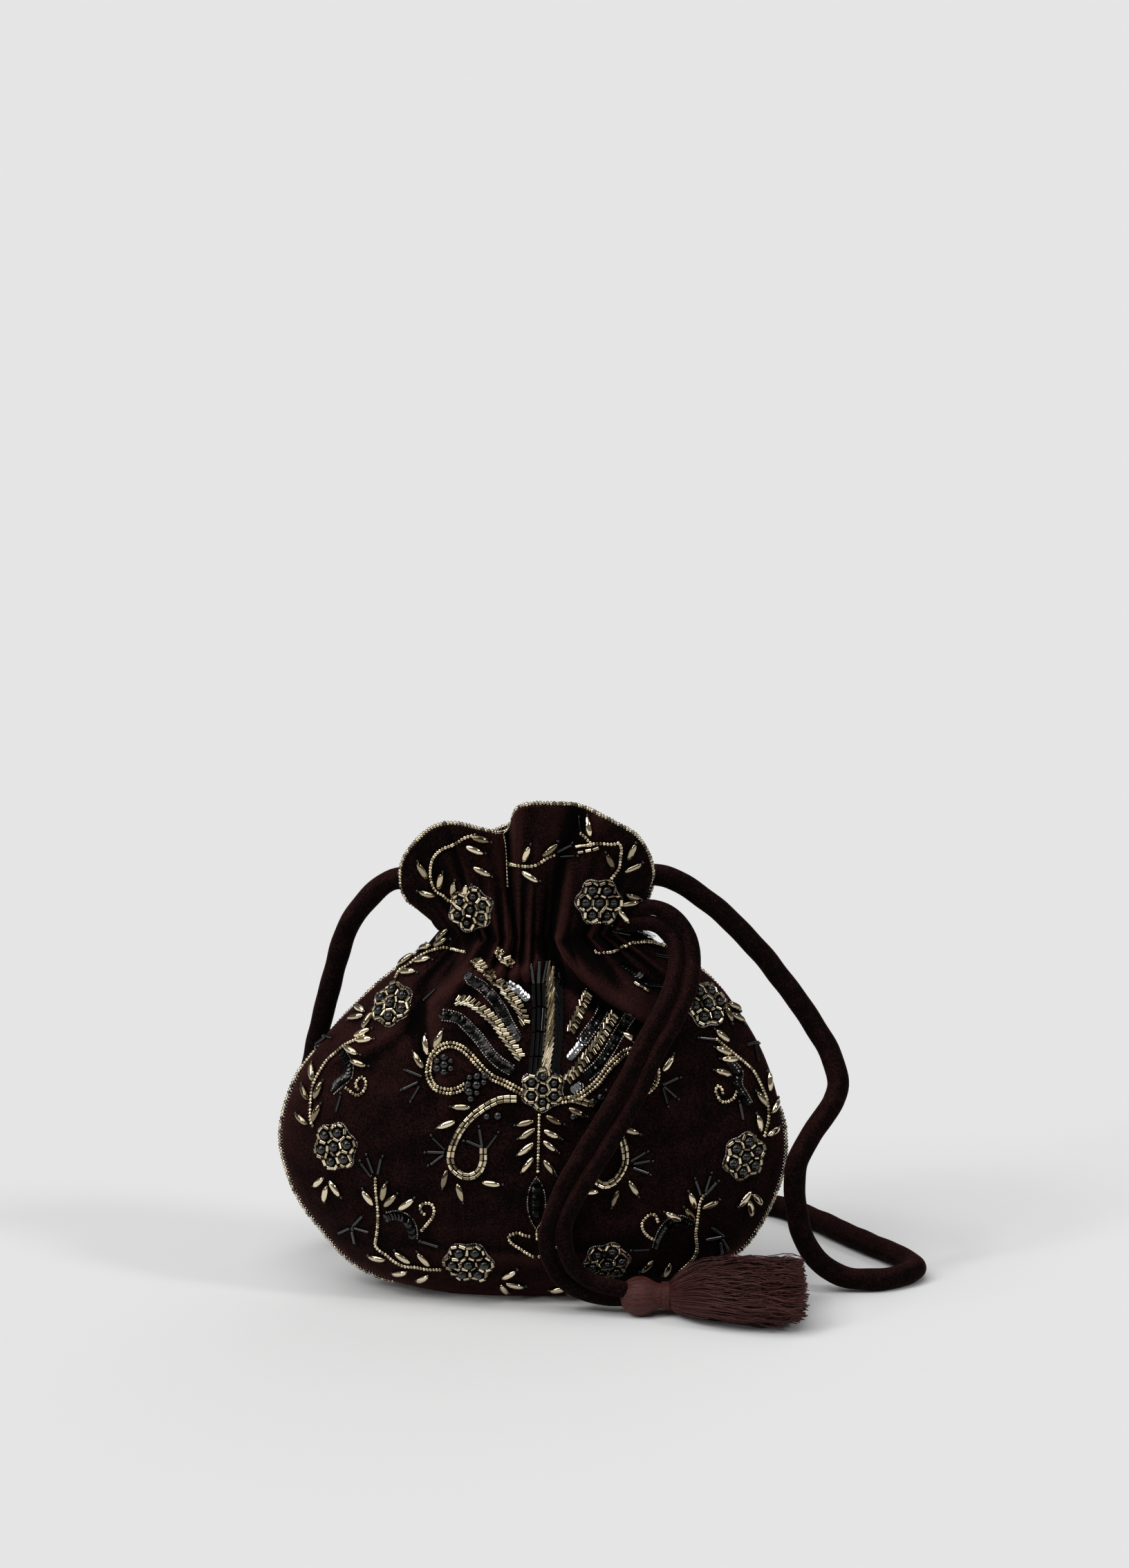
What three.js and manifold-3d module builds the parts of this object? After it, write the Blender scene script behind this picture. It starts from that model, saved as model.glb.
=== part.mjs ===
// A drawstring evening bag: a rounded velvet pouch of two panels with a gathered neck and a flared
// ruffle, edged with seed beads and worked on the front with floral bead embroidery, on a round
// stuffed shoulder strap, with a doubled drawcord that ends in a tassel on the floor.
// Millimetres, +Z up. The front looks to -Y and the origin is under the middle of the bag.
import * as THREE from 'three';
import { mergeVertices } from 'three/addons/utils/BufferGeometryUtils.js';
import Module from 'manifold-3d';

const wasm = await Module();
wasm.setup();

// Driving sizes
const BODY_WIDTH = 206;
const NECK_HEIGHT = 152;
const FRONT_BELLY = 36;
const BACK_BELLY = 38;
const CLOTH = 2;
const EDGE_WALL = 3;
const SEAM_GAP = 0.3;
const SEAM_RISE = 3.4;
const SIT_DEPTH = 10;
const RUFFLE_HALF_WIDTH = 53;
const RUFFLE_HEIGHT = 57;
const FRONT_FLARE = 26;
const BACK_FLARE = 24;
const RUFFLE_CLOTH = 1.6;
const GATHER_HEIGHT = 2;
const GATHERS = 7;
const TRIM_RADIUS = 1.1;
const RIM_TRIM_RADIUS = 0.9;
const CLEAR = 0.4;
const STRAP_RADIUS = 4.6;
const CORD_RADIUS = 3.1;
const SCROLL_HALF_WIDTH = 2.1;
const SCROLL_HEIGHT = 2;
const VINE_RADIUS = 1.1;
const ROSETTE_RADIUS = 9;
const ROUND_BEAD_RADIUS = 3.15;
const BAND_HEIGHT = 1.4;
const BAND_SEAT = 1;
const TASSEL_HEAD_RADIUS = 8;
const TASSEL_LENGTH = 76;
const SKIRT_HALF_WIDTH = 24.5;
const SKIRT_HALF_HEIGHT = 12.2;
const SKIRT_DRIFT = 5;
const FLOOR_CLEAR = 0.3;

// How finely the cloth, the cords and the bead rows are divided
const BAND_STEP = 7;
const VINE_STEP = 7;
const SEAM_STEP = 13;
const STRAP_STEP = 18;
const CORD_STEP = 12;
const CORD_SIDES = 8;
const STRING_SIDES = 5;
const TURNED_SIDES = 16;
const DOME_SIDES = 10;
const SLIT_COLUMNS = 2;
const FRONT_COLUMNS = 28;
const BACK_COLUMNS = 16;
const FRONT_RUFFLE_ROWS = [0.16, 0.4, 0.7, 1];
const BACK_RUFFLE_ROWS = [0.4, 1];

// The pouch from the floor up to the neck: height as a share of NECK_HEIGHT, left and right as
// shares of half BODY_WIDTH, front and back as shares of the two bellies.
const SECTIONS = [
  { height: 0.000, left: 0.46, right: 0.46, front: 0.31, back: 0.34 },
  { height: 0.027, left: 0.59, right: 0.60, front: 0.48, back: 0.50 },
  { height: 0.060, left: 0.69, right: 0.71, front: 0.62, back: 0.64 },
  { height: 0.105, left: 0.77, right: 0.82, front: 0.75, back: 0.76 },
  { height: 0.165, left: 0.84, right: 0.89, front: 0.86, back: 0.87 },
  { height: 0.240, left: 0.92, right: 0.945, front: 0.95, back: 0.95 },
  { height: 0.330, left: 0.975, right: 0.992, front: 0.99, back: 0.99 },
  { height: 0.420, left: 1.000, right: 1.000, front: 1.00, back: 1.00 },
  { height: 0.510, left: 0.98, right: 0.98, front: 0.98, back: 0.97 },
  { height: 0.590, left: 0.935, right: 0.95, front: 0.94, back: 0.91 },
  { height: 0.660, left: 0.87, right: 0.912, front: 0.88, back: 0.84 },
  { height: 0.725, left: 0.80, right: 0.862, front: 0.81, back: 0.76 },
  { height: 0.785, left: 0.715, right: 0.805, front: 0.73, back: 0.68 },
  { height: 0.840, left: 0.63, right: 0.745, front: 0.655, back: 0.60 },
  { height: 0.895, left: 0.53, right: 0.655, front: 0.57, back: 0.53 },
  { height: 0.950, left: 0.43, right: 0.53, front: 0.48, back: 0.47 },
  { height: 1.000, left: 0.366, right: 0.414, front: 0.42, back: 0.44 },
];

// The free edge of the two petals of the ruffle. at: place along the neck from the left seam (-1)
// to the right one (1). side: share of RUFFLE_HALF_WIDTH. out: share of the petal's flare.
// up: share of RUFFLE_HEIGHT above the neck.
const FRONT_RIM = [
  { at: -1.00, side: -0.72, out: 0.05, up: 0.03 },
  { at: -0.965, side: -0.86, out: 0.12, up: 0.14 },
  { at: -0.93, side: -0.96, out: 0.18, up: 0.24 },
  { at: -0.89, side: -1.00, out: 0.24, up: 0.37 },
  { at: -0.82, side: -0.98, out: 0.35, up: 0.53 },
  { at: -0.73, side: -0.88, out: 0.50, up: 0.68 },
  { at: -0.62, side: -0.74, out: 0.62, up: 0.80 },
  { at: -0.50, side: -0.58, out: 0.69, up: 0.83 },
  { at: -0.38, side: -0.40, out: 0.66, up: 0.79 },
  { at: -0.28, side: -0.25, out: 0.54, up: 0.75 },
  { at: -0.215, side: -0.19, out: 0.18, up: 0.74 },
  { at: -0.15, side: -0.13, out: 0.80, up: 0.94 },
  { at: -0.04, side: 0.00, out: 1.00, up: 1.00 },
  { at: 0.10, side: 0.18, out: 1.00, up: 1.00 },
  { at: 0.24, side: 0.35, out: 0.77, up: 0.95 },
  { at: 0.38, side: 0.52, out: 0.85, up: 0.90 },
  { at: 0.50, side: 0.66, out: 0.84, up: 0.83 },
  { at: 0.62, side: 0.77, out: 0.76, up: 0.76 },
  { at: 0.73, side: 0.85, out: 0.62, up: 0.65 },
  { at: 0.83, side: 0.90, out: 0.46, up: 0.52 },
  { at: 0.90, side: 0.91, out: 0.33, up: 0.39 },
  { at: 0.94, side: 0.87, out: 0.22, up: 0.29 },
  { at: 0.97, side: 0.82, out: 0.12, up: 0.18 },
  { at: 1.00, side: 0.80, out: 0.05, up: 0.03 },
];
const BACK_RIM = [
  { at: -1.00, side: -0.72, out: 0.05, up: 0.03 },
  { at: -0.95, side: -0.84, out: 0.26, up: 0.13 },
  { at: -0.88, side: -0.92, out: 0.52, up: 0.26 },
  { at: -0.75, side: -0.94, out: 0.72, up: 0.42 },
  { at: -0.55, side: -0.72, out: 0.95, up: 0.56 },
  { at: -0.30, side: -0.40, out: 0.85, up: 0.60 },
  { at: -0.10, side: -0.12, out: 1.00, up: 0.68 },
  { at: 0.12, side: 0.15, out: 0.88, up: 0.70 },
  { at: 0.35, side: 0.45, out: 1.00, up: 0.62 },
  { at: 0.60, side: 0.74, out: 0.92, up: 0.52 },
  { at: 0.80, side: 0.92, out: 0.70, up: 0.38 },
  { at: 0.89, side: 0.91, out: 0.52, up: 0.26 },
  { at: 0.95, side: 0.86, out: 0.26, up: 0.13 },
  { at: 1.00, side: 0.80, out: 0.05, up: 0.03 },
];

// The main folds of the front. Each ridge runs through points given as shares of half BODY_WIDTH
// and of NECK_HEIGHT. rise, left and right are millimetres: the height of the ridge, and how far it
// reaches to the left and right of its line as it runs down.
const FOLDS = [
  {
    ridge: [
      [-0.24, 0.985], [-0.29, 0.955], [-0.30, 0.91], [-0.35, 0.87], [-0.375, 0.83], [-0.38, 0.78],
      [-0.37, 0.73],
    ],
    rise: 3.4, left: 6, right: 30,
  },
  {
    ridge: [
      [-0.33, 0.88], [-0.42, 0.86], [-0.50, 0.80], [-0.58, 0.75], [-0.66, 0.71], [-0.72, 0.68],
    ],
    rise: 3.2, left: 20, right: 8,
  },
  {
    ridge: [[0.13, 0.99], [0.18, 0.95], [0.25, 0.90], [0.34, 0.85], [0.43, 0.81]],
    rise: 3.0, left: 9, right: 9,
  },
];

// The drawing that the embroidery is charted on: the bag seen from a point 2 m in front and a
// little above. across and up are millimetres on a plane square to that view, which meets the floor
// where the front of the bag does.
const VIEW = { distance: 2000, downTilt: 11.9, axisAcross: 12.9, axisUp: 209.9 };
const DRAWN = { neckUp: 152, ruffleUp: 57 };

// The bare cloth between the widest embroidery and the seam
const BARE_EDGE = 5.9;

// Centres of the rosettes on the drawing, and how far each sits off the cloth that it is sewn to
const ROSETTES = {
  rosette_left: { at: [-81, 61], seat: 0.7 },
  rosette_lower_left: { at: [-26.5, 13.5], seat: 0.7 },
  rosette_upper_left: { at: [-58, 119.5], seat: 0.7 },
  rosette_centre: { at: [4, 84.5], seat: 0.7 },
  rosette_upper_right: { at: [71, 119.5], seat: 0.7 },
  rosette_right: { at: [86.5, 57], seat: 0.7 },
  rosette_lower_right: { at: [30, 13.5], seat: 0.7 },
  rosette_ruffle_left: { at: [-25.5, 158.5], seat: 1.2 },
  rosette_ruffle_right: { at: [27, 161.5], seat: 1.4 },
};

// Routes of the beaded vines on the drawing
const VINES = {
  vine_left_upper: [
    [-70, 105.5], [-77, 102.5], [-84, 96.5], [-88.5, 89.5], [-90.5, 82], [-91, 77], [-90, 72.5],
  ],
  vine_left_lower: [
    [-64.5, 48], [-64, 40], [-63.5, 32], [-64.5, 22], [-60, 17], [-53, 12.5], [-46, 11.7], [-39, 11],
  ],
  vine_shoulder_left: [[-56, 131], [-51, 135], [-44, 139.5], [-39, 141]],
  vine_right_upper: [
    [75, 106.5], [81, 100], [87, 95], [92, 88.5], [95.5, 80], [96, 73], [94.5, 68.5],
  ],
  fern_stem: [[2.6, 75.5], [2.3, 67], [2.1, 59], [2, 51]],
  vine_right_lower: [[69.5, 41], [67.5, 34], [66.5, 25], [66, 16.5], [60, 10.5]],
  vine_ruffle_left: [
    [-24, 189], [-32, 185.5], [-39, 181.5], [-42, 174], [-39.5, 166.5], [-35.5, 163.5],
  ],
  vine_ruffle_right: [[20, 189.5], [28, 186], [34.5, 184], [35, 177], [32, 173]],
};

// The bead scrolls on the drawing, each the middle of a double row of beads
const SCROLLS = {
  ring_scroll_left: [
    [-8, 80.6], [-17.8, 78.6], [-25.5, 73.5], [-31.2, 66.8], [-34.3, 58.5], [-32.2, 51.2], [-27, 48.3],
    [-22.2, 50.2], [-20.4, 55.8],
  ],
  ring_scroll_right: [
    [16, 80.6], [25.5, 77.5], [32.2, 71.9], [36.5, 63.8], [38, 55.2], [35.7, 49.3], [30.1, 44.5],
    [25.9, 46.8], [23.9, 51.8],
  ],
  seed_scroll_left: [
    [-8.5, 85.4], [-15.5, 88.9], [-22.7, 96.2], [-29, 101.5], [-35.8, 102.9], [-40.7, 98.9],
    [-43, 91.2], [-40.2, 85.2], [-32.1, 83.5], [-28.2, 85.8],
  ],
  seed_scroll_right: [
    [19.8, 83.7], [25.8, 87.8], [31.8, 94.8], [38.4, 100], [44.7, 100.4], [49, 96.4], [50, 90.2],
    [46.8, 84.4], [42, 82.6],
  ],
};

// The sections of a flat band and of a double row of beads, as shares of the half width and height
const FLAT_ROW = [[-1, 0], [-0.8, 1], [0.8, 1], [1, 0]];
const DOUBLE_ROW = [[-1, 0], [-0.55, 1], [0, 0.45], [0.55, 1], [1, 0]];

// The bands of the two palmettes and the column between them on the drawing, each with its half
// width in millimetres
const BANDS = {
  band_left_1: { half: 1.7, route: [[-36, 114.5], [-31, 113.5], [-22, 105], [-14, 95.8], [-6, 91.5]] },
  band_left_2: { half: 1.5, route: [[-31, 120], [-23, 117.5], [-15, 110.5], [-9, 102.5], [-5, 98.5]] },
  band_left_3: { half: 1.7, route: [[-27, 130], [-22, 126.5], [-13, 117], [-7.5, 108.5], [-4, 103]] },
  band_left_4: { half: 1.5, route: [[-22, 135.5], [-16, 129.5], [-8, 120.5], [-3, 112.5]] },
  band_right_1: { half: 1.7, route: [[41, 116], [35, 107.5], [27, 97.5], [19, 90.5]] },
  band_right_2: { half: 1.5, route: [[33, 115.5], [27, 106.5], [20.5, 98], [13.5, 92.5]] },
  band_right_3: { half: 1.5, route: [[27.5, 116.5], [23.5, 109.5], [18.5, 102], [13.5, 97.5]] },
  bead_column: { half: 4.4, route: [[3.4, 132.5], [3.4, 125], [3.4, 114], [3.4, 103], [3.4, 94.5]] },
  spindle: { half: 2.6, route: [[1.5, 47.5], [1.5, 43], [1.5, 38], [1.5, 33], [1.5, 28.5]] },
};

// Routes of the strap and of the two drawcords, chosen by hand
const STRAP_ROUTE = [
  [-29, 4.2, 157.5], [-34, 4.5, 164.2], [-41, 5, 169.8], [-54.3, 6.5, 171.9], [-60.3, 7.3, 169.4],
  [-68.4, 9, 161.4], [-75.5, 11, 150.7], [-83.4, 16.5, 124.2], [-90.5, 24, 94.3], [-97, 39, 56.5],
  [-92, 53, 30], [-74, 70, 7.5], [-58, 81, 4.8], [-10, 101, 4.8], [70, 112, 4.8], [103, 101.7, 4.8],
  [139.5, 48.7, 4.8], [155.2, 23.1, 4.8], [158.6, 10.7, 4.8], [150.6, 0.2, 4.8], [140.3, -4.4, 4.8],
  [129.8, -5.2, 5.8], [121.1, -6, 10], [115, -6.5, 16.1], [110.9, -7.2, 23.9], [107.6, -8.6, 38],
  [107.5, -8.8, 54], [109.9, -8.4, 61], [118.6, -5.5, 74.4], [123.2, -3, 81.2], [124.9, -0.5, 87.5],
  [121.5, 4.5, 99], [109.7, 9, 117.9], [89.6, 9.5, 143.9], [71.6, 8.5, 161.6], [57.6, 7, 171.1],
  [51.6, 6, 173.2], [46.1, 5.3, 173.2], [37, 4.6, 165], [32, 4.2, 157.5],
];
const DRAWCORD_ROUTES = {
  drawcord_a: [
    [42.3, -7.6, 156.4], [47, -8.8, 156.8], [51.5, -9.8, 155.6], [54.8, -11.2, 152.7],
    [57.4, -13, 149.3], [58.1, -16, 145.1], [57.7, -20, 139.9], [56.1, -24, 134.4], [53.1, -28.2, 127.9], [49.1, -32, 121.3],
    [44.5, -35.6, 113.7], [37, -39.2, 98.5], [29.5, -41.6, 86], [21.8, -42.6, 73], [14.6, -42.8, 60.5],
    [9, -42.4, 47.5], [6.2, -41.2, 38], [6, -39, 28.5], [9, -36.4, 19], [14.5, -34, 12], [22, -33, 8],
    [29, -33.6, 6.6], [34.9, -34.4, 6.6],
  ],
  drawcord_b: [
    [46.9, -8.4, 163.2], [50.4, -8.8, 162.9], [54.6, -9.6, 161.3], [59.4, -10.8, 157.3], [62.6, -12.4, 152.6],
    [64.2, -14.4, 147.6], [64.7, -17, 143], [64.1, -20.5, 137.6], [62.6, -24.2, 131.8], [59.4, -28, 125.2],
    [55.2, -31.8, 117.8], [50.2, -35.4, 110], [44.4, -38.4, 97], [37.6, -40.8, 84.5], [30.2, -42.8, 72.5],
    [23, -43.6, 60.5], [17, -43.6, 50.5], [13.2, -42.8, 41], [12.8, -41.2, 32], [15, -39.8, 24],
    [19.5, -38.8, 18], [25, -38.8, 14.6], [30, -39.2, 13], [35, -39.4, 12.4],
  ],
};

// The tassel lies along X: the middle of its head
const TASSEL_AT = [43.3, -36.6, 8.1];

// Helpers for tables and curves

function valueAt(rows, key, column, at) {
  const last = rows.length - 1;
  let i = 0;
  while (i < last - 1 && rows[i + 1][key] <= at) {
    i += 1;
  }
  const low = rows[i];
  const high = rows[i + 1];
  const before = rows[Math.max(i - 1, 0)];
  const after = rows[Math.min(i + 2, last)];
  const span = high[key] - low[key];
  const t = THREE.MathUtils.clamp((at - low[key]) / span, 0, 1);
  const slopeLow = ((high[column] - before[column]) / (high[key] - before[key])) * span;
  const slopeHigh = ((after[column] - low[column]) / (after[key] - low[key])) * span;
  const t2 = t * t;
  const t3 = t2 * t;
  return (2 * t3 - 3 * t2 + 1) * low[column] + (t3 - 2 * t2 + t) * slopeLow
    + (3 * t2 - 2 * t3) * high[column] + (t3 - t2) * slopeHigh;
}

function vector(list) {
  return new THREE.Vector3(...list);
}

function smoothCurve(points) {
  return new THREE.CatmullRomCurve3(points, false, 'centripetal');
}

// Folds and gathers of the cloth, as depths in millimetres

function foldRise(fold, x, height) {
  const here = new THREE.Vector2(x, height);
  let best = { distance: Infinity, side: 1, along: 0 };
  const last = fold.ridge.length - 1;
  for (let i = 0; i < last; i += 1) {
    const [start, end] = [fold.ridge[i], fold.ridge[i + 1]].map(
      ([across, up]) => new THREE.Vector2((across * BODY_WIDTH) / 2, up * NECK_HEIGHT),
    );
    const run = end.clone().sub(start);
    const t = THREE.MathUtils.clamp(here.clone().sub(start).dot(run) / run.lengthSq(), 0, 1);
    const gap = here.clone().sub(start.clone().addScaledVector(run, t));
    if (gap.length() < best.distance) {
      best = { distance: gap.length(), side: Math.sign(run.cross(gap)), along: (i + t) / last };
    }
  }
  const reach = best.side < 0 ? fold.left : fold.right;
  const across = Math.max(0, 1 - best.distance / reach);
  return fold.rise * across * across * (3 - 2 * across) * Math.sin(Math.PI * (0.15 + 0.7 * best.along));
}

function gatherRise(u, height) {
  const climb = THREE.MathUtils.smoothstep(height / NECK_HEIGHT, 0.72, 1);
  return GATHER_HEIGHT * climb * Math.cos(Math.PI * GATHERS * u) * (1 - u ** 4);
}

function pillow(u) {
  return (1 - Math.abs(u) ** 2.3) ** 0.72;
}

// One panel of the pouch. facing is -1 for the front and 1 for the back; inset is 0 on the outside
// and the cloth's thickness on the inside.
function pouchPoint(facing, u, height, inset) {
  const share = height / NECK_HEIGHT;
  const edge = u < 0 ? 'left' : 'right';
  const reach = (valueAt(SECTIONS, 'height', edge, share) * BODY_WIDTH) / 2;
  const x = u * (reach - inset * (EDGE_WALL / CLOTH));
  const belly = facing < 0
    ? valueAt(SECTIONS, 'height', 'front', share) * FRONT_BELLY
    : valueAt(SECTIONS, 'height', 'back', share) * BACK_BELLY;
  let depth = (belly - inset) * pillow(u) + gatherRise(u, height);
  if (facing < 0) {
    for (const fold of FOLDS) depth += foldRise(fold, x, height) * pillow(u);
  }
  const lift = height < SEAM_RISE ? Math.max(0, SEAM_RISE * (1 - 1.6 * pillow(u))) : 0;
  const z = Math.max(height, lift) + inset * floorLift(share);
  return new THREE.Vector3(x, facing * (SEAM_GAP / 2 + depth), z);
}

// How far the inside stands over the outside near the floor
function floorLift(share) {
  return Math.max(0, 1 - share / SECTIONS[2].height);
}

// The rows under the pouch, from the seam in the middle to where it leaves the floor
function undersidePoint(facing, u, share, inset) {
  const reach = (u < 0 ? SECTIONS[0].left : SECTIONS[0].right) * (BODY_WIDTH / 2);
  const x = u * (reach - inset * (EDGE_WALL / CLOTH));
  const depth = SIT_DEPTH * share * pillow(u);
  const lift = SEAM_RISE * Math.max(1 - share * 2, 1 - 1.6 * pillow(u), 0);
  return new THREE.Vector3(x, facing * (SEAM_GAP / 2 + depth), lift + inset);
}

function rimPoint(facing, at) {
  const rim = facing < 0 ? FRONT_RIM : BACK_RIM;
  const flare = facing < 0 ? FRONT_FLARE : BACK_FLARE;
  return new THREE.Vector3(
    valueAt(rim, 'at', 'side', at) * RUFFLE_HALF_WIDTH,
    facing * valueAt(rim, 'at', 'out', at) * flare,
    NECK_HEIGHT + valueAt(rim, 'at', 'up', at) * RUFFLE_HEIGHT,
  );
}

// A point of the ruffle, from the neck (share 0) to its free edge (share 1)
function rufflePoint(facing, u, share) {
  const neck = pouchPoint(facing, u, NECK_HEIGHT, 0);
  const rim = rimPoint(facing, u);
  const fade = (1 - share) ** 2;
  const gather = facing * gatherRise(u, NECK_HEIGHT) * (fade - (1 - share ** 1.5));
  return new THREE.Vector3(
    THREE.MathUtils.lerp(neck.x, rim.x, share),
    THREE.MathUtils.lerp(neck.y, rim.y, share ** 1.5) + gather,
    THREE.MathUtils.lerp(neck.z, rim.z, share),
  );
}

// Solids

function solidFrom(positions, faces) {
  const geometry = new THREE.BufferGeometry();
  geometry.setAttribute('position', new THREE.Float32BufferAttribute(positions, 3));
  geometry.setIndex(faces);
  return geometry;
}

function plainGeometry(geometry) {
  const plain = geometry.clone();
  plain.deleteAttribute('normal');
  plain.deleteAttribute('uv');
  return mergeVertices(plain, 1e-3);
}

function toManifold(geometry) {
  const plain = plainGeometry(geometry);
  return new wasm.Manifold(new wasm.Mesh({
    numProp: 3,
    vertProperties: new Float32Array(plain.attributes.position.array),
    triVerts: new Uint32Array(plain.index.array),
  }));
}

function fuse(geometries) {
  let whole = toManifold(geometries[0]);
  for (const next of geometries.slice(1)) whole = whole.add(toManifold(next));
  const mesh = whole.getMesh();
  return solidFrom(Array.from(mesh.vertProperties), Array.from(mesh.triVerts));
}

// A closed wall between two grids of points that have the same rows and columns
function wallBody(outside, inside, facing) {
  const rows = outside.length;
  const columns = outside[0].length;
  const positions = [...outside.flat(), ...inside.flat()].flatMap((point) => point.toArray());
  const faces = [];
  const quad = (a, b, c, d) => {
    if (facing < 0) faces.push(a, b, c, a, c, d);
    else faces.push(a, c, b, a, d, c);
  };
  const out = (row, column) => row * columns + column;
  const inn = (row, column) => rows * columns + row * columns + column;
  for (let row = 0; row < rows - 1; row += 1) {
    for (let column = 0; column < columns - 1; column += 1) {
      quad(out(row, column), out(row, column + 1), out(row + 1, column + 1), out(row + 1, column));
      quad(inn(row, column), inn(row + 1, column), inn(row + 1, column + 1), inn(row, column + 1));
    }
    quad(out(row, 0), out(row + 1, 0), inn(row + 1, 0), inn(row, 0));
    const end = columns - 1;
    quad(out(row, end), inn(row, end), inn(row + 1, end), out(row + 1, end));
  }
  for (let column = 0; column < columns - 1; column += 1) {
    const top = rows - 1;
    quad(out(0, column), inn(0, column), inn(0, column + 1), out(0, column + 1));
    quad(out(top, column), out(top, column + 1), inn(top, column + 1), inn(top, column));
  }
  return solidFrom(positions, faces);
}

// Unit normals of a grid of points, to the outside of the bag
function gridNormals(grid, facing) {
  const rows = grid.length;
  const columns = grid[0].length;
  return grid.map((line, row) => line.map((point, column) => {
    const right = line[Math.min(column + 1, columns - 1)].clone().sub(line[Math.max(column - 1, 0)]);
    const up = grid[Math.min(row + 1, rows - 1)][column].clone().sub(grid[Math.max(row - 1, 0)][column]);
    return right.cross(up).multiplyScalar(-facing).normalize();
  }));
}

function panelGrids(facing) {
  const columns = facing < 0 ? FRONT_COLUMNS : BACK_COLUMNS;
  const ruffleRows = facing < 0 ? FRONT_RUFFLE_ROWS : BACK_RUFFLE_ROWS;
  const across = Array.from({ length: columns + 1 }, (_, column) => {
    const even = (2 * column) / columns - 1;
    return (even + Math.sin((Math.PI / 2) * even)) / 2;
  });
  const pouchRows = (inset) => [
    across.map((u) => undersidePoint(facing, u, 0, inset)),
    across.map((u) => undersidePoint(facing, u, 0.55, inset)),
    ...SECTIONS.map(({ height }) => (
      across.map((u) => pouchPoint(facing, u, height * NECK_HEIGHT, inset))
    )),
  ];
  const outside = [
    ...pouchRows(0),
    ...ruffleRows.map((share) => across.map((u) => rufflePoint(facing, u, share))),
  ];
  const normals = gridNormals(outside, facing);
  const inside = pouchRows(CLOTH);
  for (let row = inside.length; row < outside.length; row += 1) {
    inside.push(outside[row].map((point, column) => (
      point.clone().addScaledVector(normals[row][column], -RUFFLE_CLOTH)
    )));
  }
  return { outside, inside };
}

// A round tube along a route
function tube(points, radius, sides, step) {
  const curve = smoothCurve(points);
  const section = new THREE.Shape();
  for (let side = 0; side < sides; side += 1) {
    const angle = (2 * Math.PI * side) / sides;
    const [x, y] = [radius * Math.cos(angle), radius * Math.sin(angle)];
    if (side === 0) section.moveTo(x, y);
    else section.lineTo(x, y);
  }
  section.closePath();
  const steps = Math.max(2, Math.round(curve.getLength() / step));
  const options = { steps, extrudePath: curve, bevelEnabled: false };
  return plainGeometry(new THREE.ExtrudeGeometry(section, options));
}

// The drawing's lines of sight, and where they meet the front of the bag

const front = panelGrids(-1);
const back = panelGrids(1);

function skinMesh(grid) {
  const columns = grid[0].length;
  const faces = [];
  for (let row = 0; row < grid.length - 1; row += 1) {
    for (let column = 0; column < columns - 1; column += 1) {
      const a = row * columns + column;
      faces.push(a, a + 1, a + 1 + columns, a, a + 1 + columns, a + columns);
    }
  }
  const geometry = solidFrom(grid.flat().flatMap((point) => point.toArray()), faces);
  geometry.computeVertexNormals();
  return new THREE.Mesh(geometry, new THREE.MeshBasicMaterial({ side: THREE.DoubleSide }));
}

const frontSkin = skinMesh(front.outside);
const tilt = THREE.MathUtils.degToRad(VIEW.downTilt);
const sightAhead = new THREE.Vector3(0, Math.cos(tilt), -Math.sin(tilt));
const sightUp = new THREE.Vector3(0, Math.sin(tilt), Math.cos(tilt));
const drawingFoot = new THREE.Vector3(0, -SIT_DEPTH, 0);
const eye = drawingFoot.clone()
  .addScaledVector(sightAhead, -VIEW.distance)
  .addScaledVector(sightUp, VIEW.axisUp)
  .add(new THREE.Vector3(VIEW.axisAcross, 0, 0));

const widestDrawn = Math.max(
  ...Object.values(ROSETTES).map(({ at }) => Math.abs(at[0]) + ROSETTE_RADIUS),
  ...Object.values(VINES).flat().map(([across]) => Math.abs(across) + VINE_RADIUS),
);

function onCloth([across, up], lift) {
  const wide = (BODY_WIDTH / 2 - BARE_EDGE) / widestDrawn;
  const tall = NECK_HEIGHT / DRAWN.neckUp;
  const climb = Math.min(up, DRAWN.neckUp) * tall
    + (Math.max(up - DRAWN.neckUp, 0) * RUFFLE_HEIGHT) / DRAWN.ruffleUp;
  for (let shrink = 1; shrink > 0.6; shrink -= 0.01) {
    const target = drawingFoot.clone()
      .add(new THREE.Vector3(across * wide * shrink, 0, 0))
      .addScaledVector(sightUp, climb);
    const ray = new THREE.Raycaster(eye, target.sub(eye).normalize());
    const [hit] = ray.intersectObject(frontSkin);
    if (hit) return { point: hit.point.clone().addScaledVector(hit.normal, lift), normal: hit.normal };
  }
  throw new Error(`the drawing's point ${across}, ${up} misses the front`);
}

function beadRow(route, radius) {
  const drawn = smoothCurve(route.map(([across, up]) => new THREE.Vector3(across, up, 0)));
  const count = Math.max(2, Math.round(drawn.getLength() / VINE_STEP));
  const points = drawn.getSpacedPoints(count).map(({ x, y }) => onCloth([x, y], radius + CLEAR).point);
  return tube(points, radius, STRING_SIDES, VINE_STEP);
}

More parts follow.
